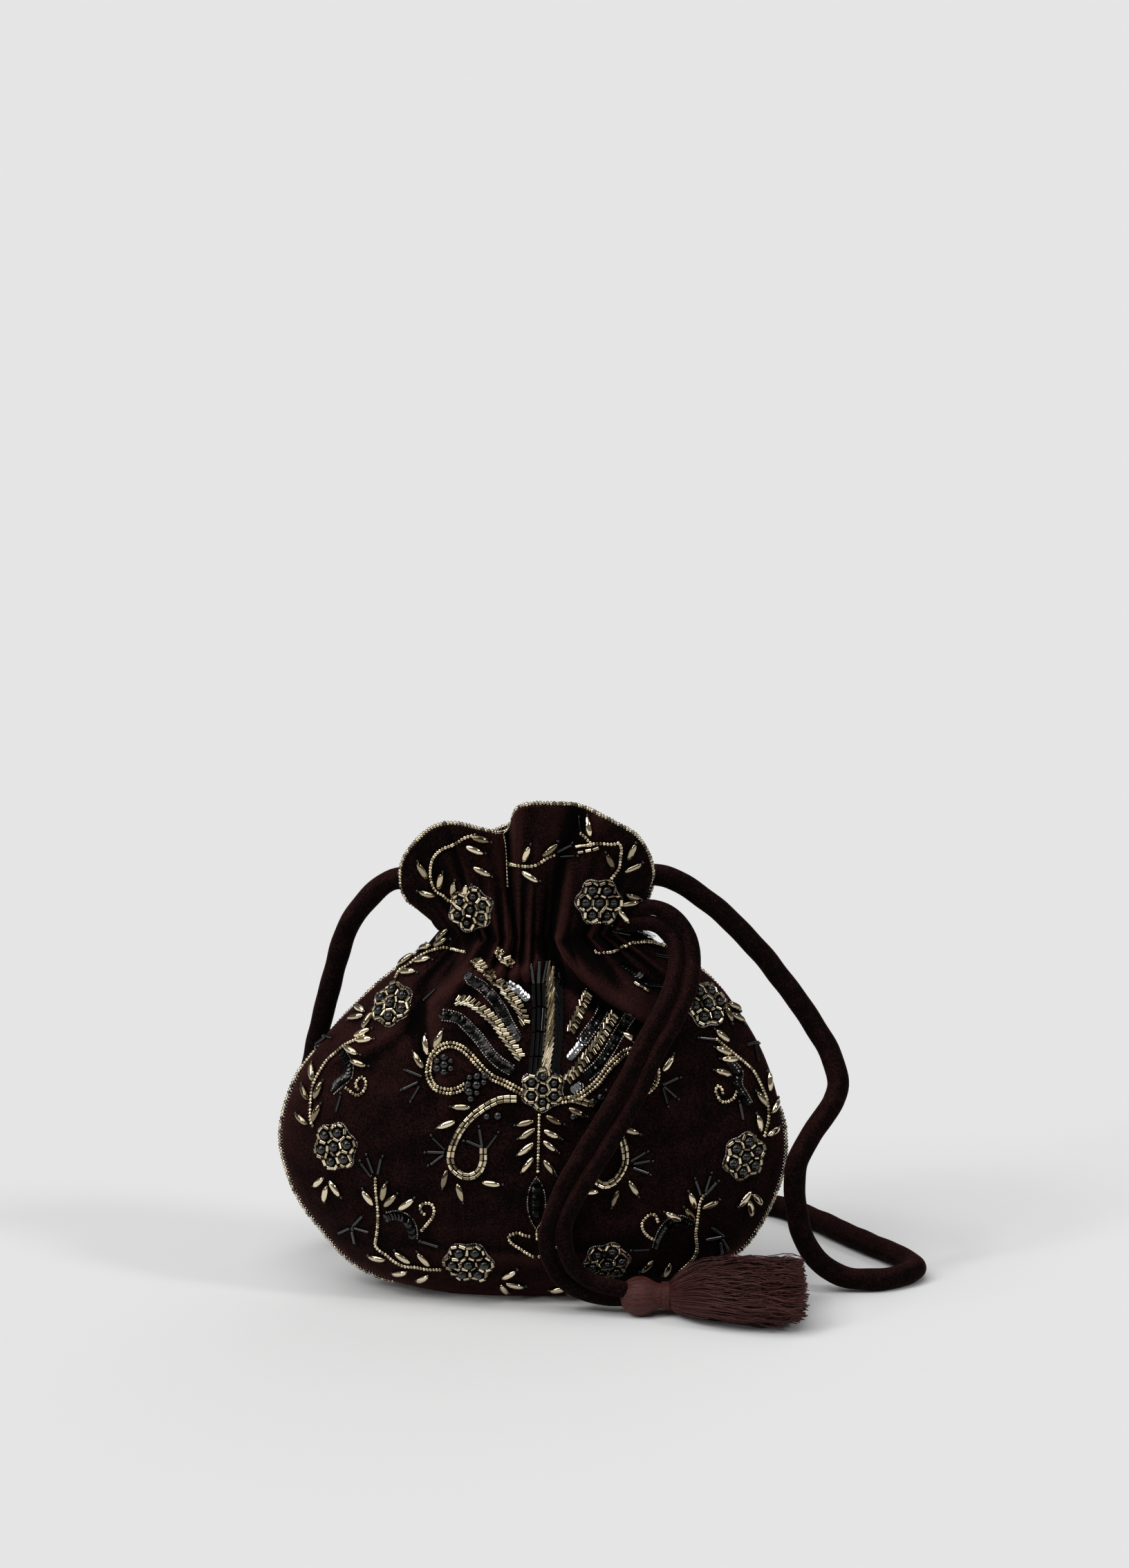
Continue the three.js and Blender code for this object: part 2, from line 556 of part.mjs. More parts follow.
// A band of bead work that follows the cloth. The section gives the reach and height of its corners
// as shares of its half width and height.
function band(route, half, height, section) {
  const drawn = smoothCurve(route.map(([across, up]) => new THREE.Vector3(across, up, 0)));
  const count = Math.max(2, Math.round(drawn.getLength() / BAND_STEP));
  const places = drawn.getSpacedPoints(count).map(({ x, y }) => onCloth([x, y], BAND_SEAT));
  const corners = section.length;
  const positions = places.flatMap(({ point, normal }, i) => {
    const ahead = places[Math.min(i + 1, count)].point.clone().sub(places[Math.max(i - 1, 0)].point);
    const aside = ahead.cross(normal).normalize();
    return section.flatMap(([reach, rise]) => point.clone()
      .addScaledVector(aside, reach * half)
      .addScaledVector(normal, rise * height).toArray());
  });
  const faces = [];
  for (let i = 0; i < count; i += 1) {
    for (let corner = 0; corner < corners; corner += 1) {
      const a = i * corners + corner;
      const b = i * corners + ((corner + 1) % corners);
      faces.push(a, b, b + corners, a, b + corners, a + corners);
    }
  }
  const top = count * corners;
  const middle = Math.floor(corners / 2);
  for (let corner = 0; corner < corners; corner += 1) {
    const next = (corner + 1) % corners;
    if (corner === middle || next === middle) continue;
    faces.push(middle, next, corner, top + middle, top + corner, top + next);
  }
  return solidFrom(positions, faces);
}

// A rosette: six domed beads fused about a seventh
function rosette({ at, seat }) {
  const { point, normal } = onCloth(at, seat);
  const places = [[0, 0]];
  const ring = ROSETTE_RADIUS - ROUND_BEAD_RADIUS;
  for (let turn = 0; turn < 6; turn += 1) {
    const angle = (Math.PI * turn) / 3;
    places.push([ring * Math.cos(angle), ring * Math.sin(angle)]);
  }
  const r = ROUND_BEAD_RADIUS;
  const dome = [[0, 0], [r, 0], [r * 0.72, r * 0.75], [0, r]].map(([x, y]) => new THREE.Vector2(x, y));
  const domes = places.map(([x, z]) => new THREE.LatheGeometry(dome, DOME_SIDES).translate(x, 0, z));
  const turn = new THREE.Quaternion().setFromUnitVectors(new THREE.Vector3(0, 1, 0), normal);
  return fuse(domes).applyQuaternion(turn).translate(...point.toArray());
}

// The beaded trims

// A string of beads in the seam, from the left of the neck round the bottom to the right
function seamTrim() {
  const side = (edge, sign) => SECTIONS.slice(0, -1).map(({ height }) => new THREE.Vector2(
    (sign * valueAt(SECTIONS, 'height', edge, height) * BODY_WIDTH) / 2,
    Math.max(height * NECK_HEIGHT, SEAM_RISE),
  ));
  const middle = [-0.25, 0, 0.25].map((share) => new THREE.Vector2((share * BODY_WIDTH) / 2, SEAM_RISE));
  const outline = [...side('left', -1).reverse(), ...middle, ...side('right', 1)];
  const off = TRIM_RADIUS + 1.5 * CLEAR;
  const points = outline.map((place, i) => {
    const along = outline[Math.min(i + 1, outline.length - 1)].clone().sub(outline[Math.max(i - 1, 0)]);
    along.normalize();
    const x = place.x + along.y * off;
    const z = Math.max(place.y - along.x * off, TRIM_RADIUS + CLEAR);
    return new THREE.Vector3(x, 0, z);
  });
  return tube(points, TRIM_RADIUS, STRING_SIDES, SEAM_STEP);
}

// A closed string through given places, with one section at each
function stringThrough(points, radius) {
  const sides = STRING_SIDES;
  const last = points.length - 1;
  const positions = [];
  let aside = new THREE.Vector3(0, 1, 0);
  points.forEach((point, i) => {
    const ahead = points[Math.min(i + 1, last)].clone().sub(points[Math.max(i - 1, 0)]).normalize();
    const above = ahead.clone().cross(aside).normalize();
    aside = above.clone().cross(ahead).normalize();
    for (let side = 0; side < sides; side += 1) {
      const angle = (2 * Math.PI * side) / sides;
      positions.push(...point.clone()
        .addScaledVector(aside, radius * Math.cos(angle))
        .addScaledVector(above, radius * Math.sin(angle)).toArray());
    }
  });
  const faces = [];
  for (let i = 0; i < last; i += 1) {
    for (let side = 0; side < sides; side += 1) {
      const a = i * sides + side;
      const b = i * sides + ((side + 1) % sides);
      faces.push(a, b, b + sides, a, b + sides, a + sides);
    }
  }
  for (let side = 1; side < sides - 1; side += 1) {
    faces.push(0, side + 1, side);
    faces.push(last * sides, last * sides + side, last * sides + side + 1);
  }
  return solidFrom(positions, faces);
}

// A string of beads along the free edge of one petal of the ruffle, an even way off it
function rimTrim({ outside, inside }, facing) {
  const top = outside.length - 1;
  const last = outside[top].length - 1;
  const square = (column) => {
    const run = outside[top][column + 1].clone().sub(outside[top][column]);
    const through = inside[top][column].clone().sub(outside[top][column]);
    return run.cross(through).normalize().multiplyScalar(-facing);
  };
  const points = outside[top].map((point, column) => {
    const before = square(Math.max(column - 1, 0));
    const after = square(Math.min(column, last - 1));
    const mitre = before.clone().add(after).divideScalar(1 + Math.max(before.dot(after), -0.4));
    return point.clone().add(inside[top][column]).multiplyScalar(0.5)
      .addScaledVector(mitre, RIM_TRIM_RADIUS + 1.7 * CLEAR);
  });
  return stringThrough(points.slice(SLIT_COLUMNS, -SLIT_COLUMNS), RIM_TRIM_RADIUS);
}

// The tassel

function turnedAlongX(profile) {
  const outline = profile.map(([x, radius]) => new THREE.Vector2(radius, x));
  const body = new THREE.LatheGeometry(outline, TURNED_SIDES);
  return body.rotateZ(-Math.PI / 2).translate(...TASSEL_AT);
}

const WAIST_RADIUS = 5;
const BINDING = { start: 9, end: 12, radius: 6.2 };

function tasselHead() {
  const r = TASSEL_HEAD_RADIUS;
  return turnedAlongX([
    [-r, 0], [-0.92 * r, 0.42 * r], [-0.62 * r, 0.8 * r], [0, r], [0.55 * r, 0.84 * r],
    [r, WAIST_RADIUS], [BINDING.end, WAIST_RADIUS], [BINDING.end, 0],
  ]);
}

function tasselBinding() {
  const inner = WAIST_RADIUS + SEAM_GAP;
  return turnedAlongX([
    [BINDING.start, inner], [BINDING.start, BINDING.radius], [BINDING.end, BINDING.radius],
    [BINDING.end, inner], [BINDING.start, inner],
  ]);
}

// The threads of the skirt, in locks that spread from the waist and lie on the floor. Each row gives
// its place along the skirt, and as shares of the skirt's sizes its half width, half height, the
// height of its middle and how far it has turned to the front.
const SKIRT_ROWS = [
  { along: 0, wide: 0.19, tall: 0.43, middle: 0.68, drift: 0 },
  { along: 0.1, wide: 0.42, tall: 0.72, middle: 0.76, drift: 0.08 },
  { along: 0.28, wide: 0.76, tall: 0.95, middle: 0.96, drift: 0.35 },
  { along: 0.65, wide: 0.97, tall: 1, middle: 1, drift: 0.8 },
  { along: 1, wide: 1, tall: 0.96, middle: 0.96, drift: 1 },
];
const SKIRT_LOCKS = 13;
const LOCK_DEPTH = 0.16;
const RAGGED = 0.09;

function tasselSkirt() {
  const [x, y] = TASSEL_AT;
  const start = x + BINDING.end + SEAM_GAP;
  const length = x - TASSEL_HEAD_RADIUS + TASSEL_LENGTH - start;
  const corners = 2 * SKIRT_LOCKS;
  const positions = [];
  for (const { along, wide, tall, middle, drift } of SKIRT_ROWS) {
    for (let corner = 0; corner < corners; corner += 1) {
      const angle = (2 * Math.PI * corner) / corners;
      const lock = Math.floor(corner / 2);
      const reach = corner % 2 === 0 ? 1 : 1 - LOCK_DEPTH * Math.min(1, along * 4);
      const cut = along === 1 ? RAGGED * Math.abs(Math.sin(lock * 2.3)) + (corner % 2) * RAGGED : 0;
      positions.push(
        start + length * (along - cut),
        y - SKIRT_DRIFT * drift + SKIRT_HALF_WIDTH * wide * reach * Math.cos(angle),
        FLOOR_CLEAR + SKIRT_HALF_HEIGHT * (middle + tall * reach * Math.sin(angle)),
      );
    }
  }
  const rows = SKIRT_ROWS.length;
  const faces = [];
  for (let row = 0; row < rows - 1; row += 1) {
    for (let corner = 0; corner < corners; corner += 1) {
      const a = row * corners + corner;
      const b = row * corners + ((corner + 1) % corners);
      faces.push(a, b, b + corners, a, b + corners, a + corners);
    }
  }
  const waist = rows * corners;
  const tip = waist + 1;
  const inside = start + length * (1 - 3 * RAGGED);
  positions.push(start, y, FLOOR_CLEAR + SKIRT_HALF_HEIGHT * SKIRT_ROWS[0].middle);
  positions.push(inside, y - SKIRT_DRIFT, FLOOR_CLEAR + SKIRT_HALF_HEIGHT);
  for (let corner = 0; corner < corners; corner += 1) {
    const next = (corner + 1) % corners;
    faces.push(waist, next, corner, tip, (rows - 1) * corners + corner, (rows - 1) * corners + next);
  }
  return solidFrom(positions, faces);
}

// The whole bag

const VELVET = new THREE.MeshStandardMaterial({ color: '#2a1a1b', roughness: 0.95, metalness: 0 });
const STRAP_VELVET = new THREE.MeshStandardMaterial({ color: '#2f1d1d', roughness: 0.92, metalness: 0 });
const THREAD = new THREE.MeshStandardMaterial({ color: '#4a2b2c', roughness: 0.7, metalness: 0 });
const GOLD_BEADS = new THREE.MeshStandardMaterial({ color: '#b08d57', roughness: 0.3, metalness: 0.8 });
const BLACK_BEADS = new THREE.MeshStandardMaterial({ color: '#1c1a1d', roughness: 0.15, metalness: 0.2 });
const SILVER_BEADS = new THREE.MeshStandardMaterial({ color: '#8b8587', roughness: 0.25, metalness: 0.8 });

const bag = new THREE.Group();

function addPiece(name, geometry, material) {
  const piece = new THREE.Mesh(geometry, material);
  piece.name = name;
  bag.add(piece);
}

addPiece('front_panel', wallBody(front.outside, front.inside, -1), VELVET);
addPiece('back_panel', wallBody(back.outside, back.inside, 1), VELVET);
addPiece('seam_trim', seamTrim(), SILVER_BEADS);
addPiece('ruffle_trim_front', rimTrim(front, -1), SILVER_BEADS);
addPiece('ruffle_trim_back', rimTrim(back, 1), SILVER_BEADS);

const strap = tube(STRAP_ROUTE.map(vector), STRAP_RADIUS, CORD_SIDES, STRAP_STEP);
addPiece('shoulder_strap', strap, STRAP_VELVET);
for (const [name, route] of Object.entries(DRAWCORD_ROUTES)) {
  addPiece(name, tube(route.map(vector), CORD_RADIUS, CORD_SIDES, CORD_STEP), STRAP_VELVET);
}
addPiece('tassel_head', tasselHead(), THREAD);
addPiece('tassel_binding', tasselBinding(), THREAD);
addPiece('tassel_skirt', tasselSkirt(), THREAD);

for (const [name, centre] of Object.entries(ROSETTES)) addPiece(name, rosette(centre), BLACK_BEADS);
for (const [name, route] of Object.entries(VINES)) {
  addPiece(name, beadRow(route, VINE_RADIUS), GOLD_BEADS);
}
for (const [name, route] of Object.entries(SCROLLS)) {
  addPiece(name, band(route, SCROLL_HALF_WIDTH, SCROLL_HEIGHT, DOUBLE_ROW), GOLD_BEADS);
}
for (const [name, { half, route }] of Object.entries(BANDS)) {
  const material = name === 'bead_column' ? BLACK_BEADS : GOLD_BEADS;
  addPiece(name, band(route, half, BAND_HEIGHT, FLAT_ROW), material);
}

export default bag;
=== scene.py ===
import math

import bpy
import numpy as np
from mathutils import Matrix, Vector
from mathutils.bvhtree import BVHTree


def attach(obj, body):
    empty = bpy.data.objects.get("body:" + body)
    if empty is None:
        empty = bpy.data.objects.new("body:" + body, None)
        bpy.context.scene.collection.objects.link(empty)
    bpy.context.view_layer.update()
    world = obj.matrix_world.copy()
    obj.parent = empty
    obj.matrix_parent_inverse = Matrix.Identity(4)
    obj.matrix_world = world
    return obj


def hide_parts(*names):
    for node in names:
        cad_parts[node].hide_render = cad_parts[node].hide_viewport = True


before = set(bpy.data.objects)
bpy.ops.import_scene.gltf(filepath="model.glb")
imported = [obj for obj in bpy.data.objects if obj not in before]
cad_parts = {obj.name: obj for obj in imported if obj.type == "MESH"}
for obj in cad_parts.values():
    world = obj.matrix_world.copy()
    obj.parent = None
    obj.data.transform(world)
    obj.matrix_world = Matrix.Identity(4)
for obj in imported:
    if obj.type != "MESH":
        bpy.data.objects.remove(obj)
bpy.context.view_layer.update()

# Sizes of the bag in millimetres
MM = 0.001
HALF_WIDTH = 103
NECK_HEIGHT = 152
FRONT_BELLY = 36
BACK_BELLY = 38
CLOTH = 2
EDGE_WALL = 3
SEAM_GAP = 0.3
SEAM_RISE = 3.4
SIT_DEPTH = 10
RUFFLE_HALF_WIDTH = 53
RUFFLE_HEIGHT = 57
FRONT_FLARE = 26
BACK_FLARE = 24
RUFFLE_CLOTH = 1.6
TRIM_OFF = 0.75
RIM_OFF = 0.55

# How the drawn neck pulls the cloth: height and number of the gathers, and of the tight pleats
GATHER_HEIGHT = 2
GATHERS = 7
FINE_GATHER_HEIGHT = 0.8
FINE_GATHERS = 17
PLEAT_RISE = 4.2
PLEATS = 8.5
RIPPLE = 0.5

# How finely the cloth is divided, and over how many of its steps its relief is judged
COLUMNS = 190
POUCH_ROWS = 104
RUFFLE_ROWS = 44
UNDER_ROWS = 4
RELIEF_REACH = 5
RELIEF_RANGE = (-1.5, 0.8)

# The pouch from the floor to the neck: height as a share of NECK_HEIGHT, left and right as shares
# of HALF_WIDTH, front and back as shares of the two bellies
SECTIONS = np.array([
    (0.000, 0.46, 0.46, 0.31, 0.34),
    (0.027, 0.59, 0.60, 0.48, 0.50),
    (0.060, 0.69, 0.71, 0.62, 0.64),
    (0.105, 0.77, 0.82, 0.75, 0.76),
    (0.165, 0.84, 0.89, 0.86, 0.87),
    (0.240, 0.92, 0.945, 0.95, 0.95),
    (0.330, 0.975, 0.992, 0.99, 0.99),
    (0.420, 1.000, 1.000, 1.00, 1.00),
    (0.510, 0.98, 0.98, 0.98, 0.97),
    (0.590, 0.935, 0.95, 0.94, 0.91),
    (0.660, 0.87, 0.912, 0.88, 0.84),
    (0.725, 0.80, 0.862, 0.81, 0.76),
    (0.785, 0.715, 0.805, 0.73, 0.68),
    (0.840, 0.63, 0.745, 0.655, 0.60),
    (0.895, 0.53, 0.655, 0.57, 0.53),
    (0.950, 0.43, 0.53, 0.48, 0.47),
    (1.000, 0.366, 0.414, 0.42, 0.44),
])
LEFT, RIGHT, FRONT, BACK = 1, 2, 3, 4

# The free edge of each petal of the ruffle: place along the neck from the left seam (-1) to the
# right one (1), then side, outward reach and rise as shares of the ruffle's sizes
FRONT_RIM = np.array([
    (-1.00, -0.72, 0.05, 0.03), (-0.965, -0.86, 0.12, 0.14), (-0.93, -0.96, 0.18, 0.24),
    (-0.89, -1.00, 0.24, 0.37), (-0.82, -0.98, 0.35, 0.53), (-0.73, -0.88, 0.50, 0.68),
    (-0.62, -0.74, 0.62, 0.80), (-0.50, -0.58, 0.69, 0.83), (-0.38, -0.40, 0.66, 0.79),
    (-0.28, -0.25, 0.54, 0.75), (-0.215, -0.19, 0.18, 0.74), (-0.15, -0.13, 0.80, 0.94),
    (-0.04, 0.00, 1.00, 1.00), (0.10, 0.18, 1.00, 1.00), (0.24, 0.35, 0.58, 0.95),
    (0.38, 0.52, 0.85, 0.90), (0.50, 0.66, 0.84, 0.83), (0.62, 0.77, 0.76, 0.76),
    (0.73, 0.85, 0.62, 0.65), (0.83, 0.90, 0.46, 0.52), (0.90, 0.91, 0.33, 0.39),
    (0.94, 0.87, 0.22, 0.29), (0.97, 0.82, 0.12, 0.18), (1.00, 0.80, 0.05, 0.03),
])
BACK_RIM = np.array([
    (-1.00, -0.72, 0.05, 0.03), (-0.95, -0.84, 0.26, 0.13), (-0.88, -0.92, 0.52, 0.26),
    (-0.75, -0.94, 0.72, 0.42), (-0.55, -0.72, 0.95, 0.56), (-0.30, -0.40, 0.85, 0.60),
    (-0.10, -0.12, 1.00, 0.68), (0.12, 0.15, 0.88, 0.70), (0.35, 0.45, 1.00, 0.62),
    (0.60, 0.74, 0.92, 0.52), (0.80, 0.92, 0.70, 0.38), (0.89, 0.91, 0.52, 0.26),
    (0.95, 0.86, 0.26, 0.13), (1.00, 0.80, 0.05, 0.03),
])
SIDE, OUT, UP = 1, 2, 3

# Folds of the front: a ridge through points given as shares of HALF_WIDTH and NECK_HEIGHT, its
# rise, and how far it reaches to the left and right of its line as it runs down
FOLDS = [
    (8.0, 3.0, 30, [(-0.22, 0.985), (-0.27, 0.955), (-0.30, 0.91), (-0.35, 0.87), (-0.39, 0.83),
                    (-0.40, 0.78), (-0.39, 0.72)]),
    (4.6, 20, 7, [(-0.33, 0.88), (-0.42, 0.86), (-0.50, 0.80), (-0.58, 0.75), (-0.66, 0.71),
                  (-0.72, 0.68)]),
    (8.6, 3, 12, [(0.06, 1.05), (0.13, 0.97), (0.20, 0.91), (0.30, 0.85), (0.42, 0.80), (0.50, 0.77)]),
    (-2.6, 5, 3, [(0.02, 1.0), (0.08, 0.95), (0.15, 0.89), (0.25, 0.83), (0.36, 0.78)]),
    (2.8, 4, 9, [(-0.02, 1.0), (-0.03, 0.95), (-0.07, 0.90), (-0.10, 0.86)]),
    (2.6, 7, 4, [(-0.14, 1.0), (-0.17, 0.96), (-0.20, 0.92), (-0.25, 0.88)]),
    (-3.2, 4, 9, [(0.25, 1.0), (0.33, 0.94), (0.43, 0.885), (0.54, 0.84)]),
    (-3.6, 9, 3.5, [(-0.31, 0.985), (-0.36, 0.93), (-0.41, 0.88), (-0.44, 0.83), (-0.45, 0.77)]),
    (1.4, 5, 8, [(0.40, 0.98), (0.50, 0.93), (0.60, 0.88), (0.68, 0.83)]),
    (1.2, 6, 4, [(-0.30, 0.97), (-0.38, 0.93), (-0.48, 0.89), (-0.58, 0.84)]),
    (3.4, 4, 5, [(0.06, 0.95), (0.0, 0.925), (-0.10, 0.915), (-0.20, 0.925), (-0.29, 0.90)]),
    (0.9, 9, 3, [(-0.48, 0.155), (-0.20, 0.150), (0.15, 0.150), (0.52, 0.158)]),
]

# The drawing that the embroidery is charted on: the bag from 2 m in front and a little above.
# across and up are millimetres on a plane square to that view, from where the front meets the floor.
VIEW_DISTANCE = 2000
VIEW_TILT = math.radians(11.9)
AXIS_ACROSS = 12.9
AXIS_UP = 209.9

# Real sizes of the beads: length and radius
SEED = (1.3, 0.94)
EDGE_SEED = (1.32, 1.02)
TINY_SEED = (0.9, 0.46)
TUBE_BEAD = (2.5, 0.84)
STAIR_BEAD = (2.7, 0.92)
BUGLE = (7.0, 0.68)
COLUMN_BUGLE = (9.4, 0.9)
TWIST_BUGLE = (6.5, 0.55)
RICE = (7.3, 1.48)
STOP_SEED = (1.1, 0.85)
ROUND_BEAD_RADIUS = 1.95
MIDDLE_ROUND_RADIUS = 1.55
SMALL_ROUND_RADIUS = 1.6
SEQUIN_RADIUS = 1.7

# How far apart beads are sewn along a string, and strings and rows beside each other
SEED_PITCH = 1.36
EDGE_PITCH = 1.42
TINY_PITCH = 1.05
TUBE_PITCH = 2.75
STAIR_PITCH = 2.1
TWIST_PITCH = 2.2
COLUMN_PITCH = COLUMN_BUGLE[0] + 0.15
SEQUIN_PITCH = 1.4
CLOSE_SEQUIN_PITCH = 1.25
ROW_APART = 0.88
BAND_EDGE = 2.1


def colour(hex_code):
    """An sRGB hex colour as linear values."""
    parts = [int(hex_code[i:i + 2], 16) / 255 for i in (1, 3, 5)]
    linear = [c / 12.92 if c <= 0.04045 else ((c + 0.055) / 1.055) ** 2.4 for c in parts]
    return (*linear, 1.0)


def add_node(material, kind, links=(), **settings):
    """Add a node with its input values, its settings and the sockets linked into it."""
    node = material.node_tree.nodes.new(kind)
    for key, value in settings.items():
        if hasattr(node, key):
            setattr(node, key, value)
        else:
            node.inputs[key.replace("_", " ")].default_value = value
    for name, source in links:
        material.node_tree.links.new(source, node.inputs[name])
    return node


def new_material(name):
    material = bpy.data.materials.new(name)
    material.use_nodes = True
    shader = material.node_tree.nodes["Principled BSDF"]
    return material, shader


def set_shader(shader, **values):
    for key, value in values.items():
        shader.inputs[key.replace("_", " ")].default_value = value


def link(material, source, shader, name):
    material.node_tree.links.new(source, shader.inputs[name])


def two_tones(material, source, dark, light, low, high):
    """The dark colour up to low, the light one from high, and a blend of them between."""
    tone = add_node(material, "ShaderNodeValToRGB", [("Fac", source)])
    for element, place, shade in zip(tone.color_ramp.elements, (low, high), (dark, light)):
        element.position = place
        element.color = colour(shade)
    return tone.outputs["Color"]


# The way that the key light comes from, towards which the velvet's colour is painted paler, and how much a
# millimetre of relief lightens it: painted light on crests and painted shade in hollows
PAINTED_LIGHT_FROM = (-0.45, -0.25, 0.86)
CREST_LIGHT = 0.5
# Tufts of pile and strands of floss, in millimetres. Single fibres are too fine to show in the
# picture, so both are drawn as coarse as the small bundles that the eye makes out.
PILE_TUFT = 0.75
FLOSS_STRAND = 0.55


def velvet(name, dark, light, sheen, patch_mm):
    """Cotton velvet: a cut pile that is nearly black face on, with a brown bloom at grazing angles.
    Colour and sheen are painted paler where it faces the key light and on ridges of folds, and darker in
    hollows."""
    material, shader = new_material(name)
    place = add_node(material, "ShaderNodeTexCoord").outputs["Object"]
    patches = add_node(material, "ShaderNodeTexNoise", [("Vector", place)],
                       Scale=1 / (patch_mm * MM), Detail=4.0, Roughness=0.65)
    pile = add_node(material, "ShaderNodeTexNoise", [("Vector", place)],
                    Scale=1 / (PILE_TUFT * MM), Detail=3.0, Roughness=0.8)
    tips = add_node(material, "ShaderNodeMapRange", [("Value", pile.outputs["Fac"])],
                    From_Min=0.36, From_Max=0.64)
    both = add_node(material, "ShaderNodeMath",
                    [(0, patches.outputs["Fac"]), (1, tips.outputs["Result"])], operation="MULTIPLY")
    # Painted light: colour and sheen are made paler where the cloth faces the key light, up, left and to
    # the front.
    face = add_node(material, "ShaderNodeNewGeometry").outputs["Normal"]
    raised = add_node(material, "ShaderNodeVectorMath", [(0, face)], operation="DOT_PRODUCT")
    raised.inputs[1].default_value = PAINTED_LIGHT_FROM
    facing_key_light = add_node(material, "ShaderNodeMapRange", [("Value", raised.outputs["Value"])],
                   interpolation_type="SMOOTHSTEP", From_Min=0.35, From_Max=0.85, To_Min=0.0,
                   To_Max=0.24)
    lit = add_node(material, "ShaderNodeMath",
                   [(0, both.outputs[0]), (1, facing_key_light.outputs["Result"])], operation="ADD")
    # Painted light and painted shade: crests of the cloth's relief are made paler, its hollows darker.
    relief_light_and_shade = add_node(material, "ShaderNodeAttribute", attribute_name="relief").outputs["Fac"]
    folded = add_node(material, "ShaderNodeMath", [(0, relief_light_and_shade), (2, lit.outputs[0])],
                      operation="MULTIPLY_ADD")
    folded.inputs[1].default_value = CREST_LIGHT
    tone = two_tones(material, folded.outputs[0], dark, light, 0.2, 1.0)
    link(material, tone, shader, "Base Color")
    # The sheen weight follows the colour: random patches of pile, with the same painted light and painted
    # shade.
    bloom = add_node(material, "ShaderNodeMapRange", [("Value", folded.outputs[0])],
                     From_Min=0.14, From_Max=0.85, To_Min=sheen * 0.28, To_Max=sheen)
    link(material, bloom.outputs["Result"], shader, "Sheen Weight")
    bump = add_node(material, "ShaderNodeBump", [("Height", pile.outputs["Fac"])],
                    Strength=0.7, Distance=0.35 * MM)
    link(material, bump.outputs["Normal"], shader, "Normal")
    set_shader(shader, Roughness=1.0, Sheen_Roughness=0.24, Sheen_Tint=colour("#7a4a42"),
               Specular_IOR_Level=0.05)
    return material


def thread(name, dark, light):
    """Rayon floss: fine parted strands with a soft lustre, each a little lighter or darker."""
    material, shader = new_material(name)
    place = add_node(material, "ShaderNodeTexCoord").outputs["Object"]
    streaks = add_node(material, "ShaderNodeMapping", [("Vector", place)], Scale=(0.12, 1.0, 1.0))
    strands = add_node(material, "ShaderNodeTexNoise", [("Vector", streaks.outputs["Vector"])],
                       Scale=1 / (FLOSS_STRAND * MM), Detail=3.0, Roughness=0.6)
    tone = two_tones(material, strands.outputs["Fac"], dark, light, 0.3, 0.7)
    link(material, tone, shader, "Base Color")
    set_shader(shader, Roughness=0.62, Sheen_Weight=0.2, Sheen_Roughness=0.4,
               Sheen_Tint=colour("#a06a60"), Specular_IOR_Level=0.25)
    return material


def plated_glass(name, dark, light, rough):
    """Glass beads with a baked metal finish: they mirror the lights, and vary from bead to bead."""
    material, shader = new_material(name)
    shade = add_node(material, "ShaderNodeAttribute", attribute_name="shade").outputs["Fac"]
    link(material, two_tones(material, shade, dark, light, 0.0, 0.8), shader, "Base Color")
    set_shader(shader, Metallic=1.0, Roughness=rough)
    return material


def jet_glass(name, base, rough):
    """Pressed black glass, heavy with lead: opaque, and bright only where it mirrors a light."""
    material, shader = new_material(name)
    place = add_node(material, "ShaderNodeTexCoord").outputs["Object"]
    wear = add_node(material, "ShaderNodeTexNoise", [("Vector", place)],
                    Scale=1 / (2.5 * MM), Detail=2.0)
    spread = add_node(material, "ShaderNodeMapRange", [("Value", wear.outputs["Fac"])],
                      To_Min=rough, To_Max=rough + 0.05)
    link(material, spread.outputs["Result"], shader, "Roughness")
    set_shader(shader, Base_Color=colour(base), IOR=1.58)
    return material


# Each velvet runs from its dark colour to its light one through random patches of pile, and through
# painted light where it faces the key light or stands on a crest.
VELVET = velvet("pouch_velvet", "#050202", "#341c1a", 1.0, 9)
STRAP_VELVET = velvet("strap_velvet", "#060303", "#341c1a", 1.0, 5)
FLOSS = thread("tassel_floss", "#260f0d", "#552b26")
GOLD = plated_glass("pale_gold_beads", "#62543f", "#e8d9ba", 0.06)
EDGE_GOLD = plated_glass("edge_beads", "#4c4336", "#d6c9ae", 0.12)
GUNMETAL = plated_glass("gunmetal_seeds", "#1b191a", "#a39b94", 0.16)
JET = jet_glass("jet_beads", "#020202", 0.02)
DARK_SEQUIN = plated_glass("gunmetal_sequins", "#070707", "#3c3b3a", 0.18)
SILVER_SEQUIN = plated_glass("silver_sequins", "#b7bcc0", "#f6f8fa", 0.1)
FINISHES = [GOLD, EDGE_GOLD, GUNMETAL, JET, DARK_SEQUIN, SILVER_SEQUIN]


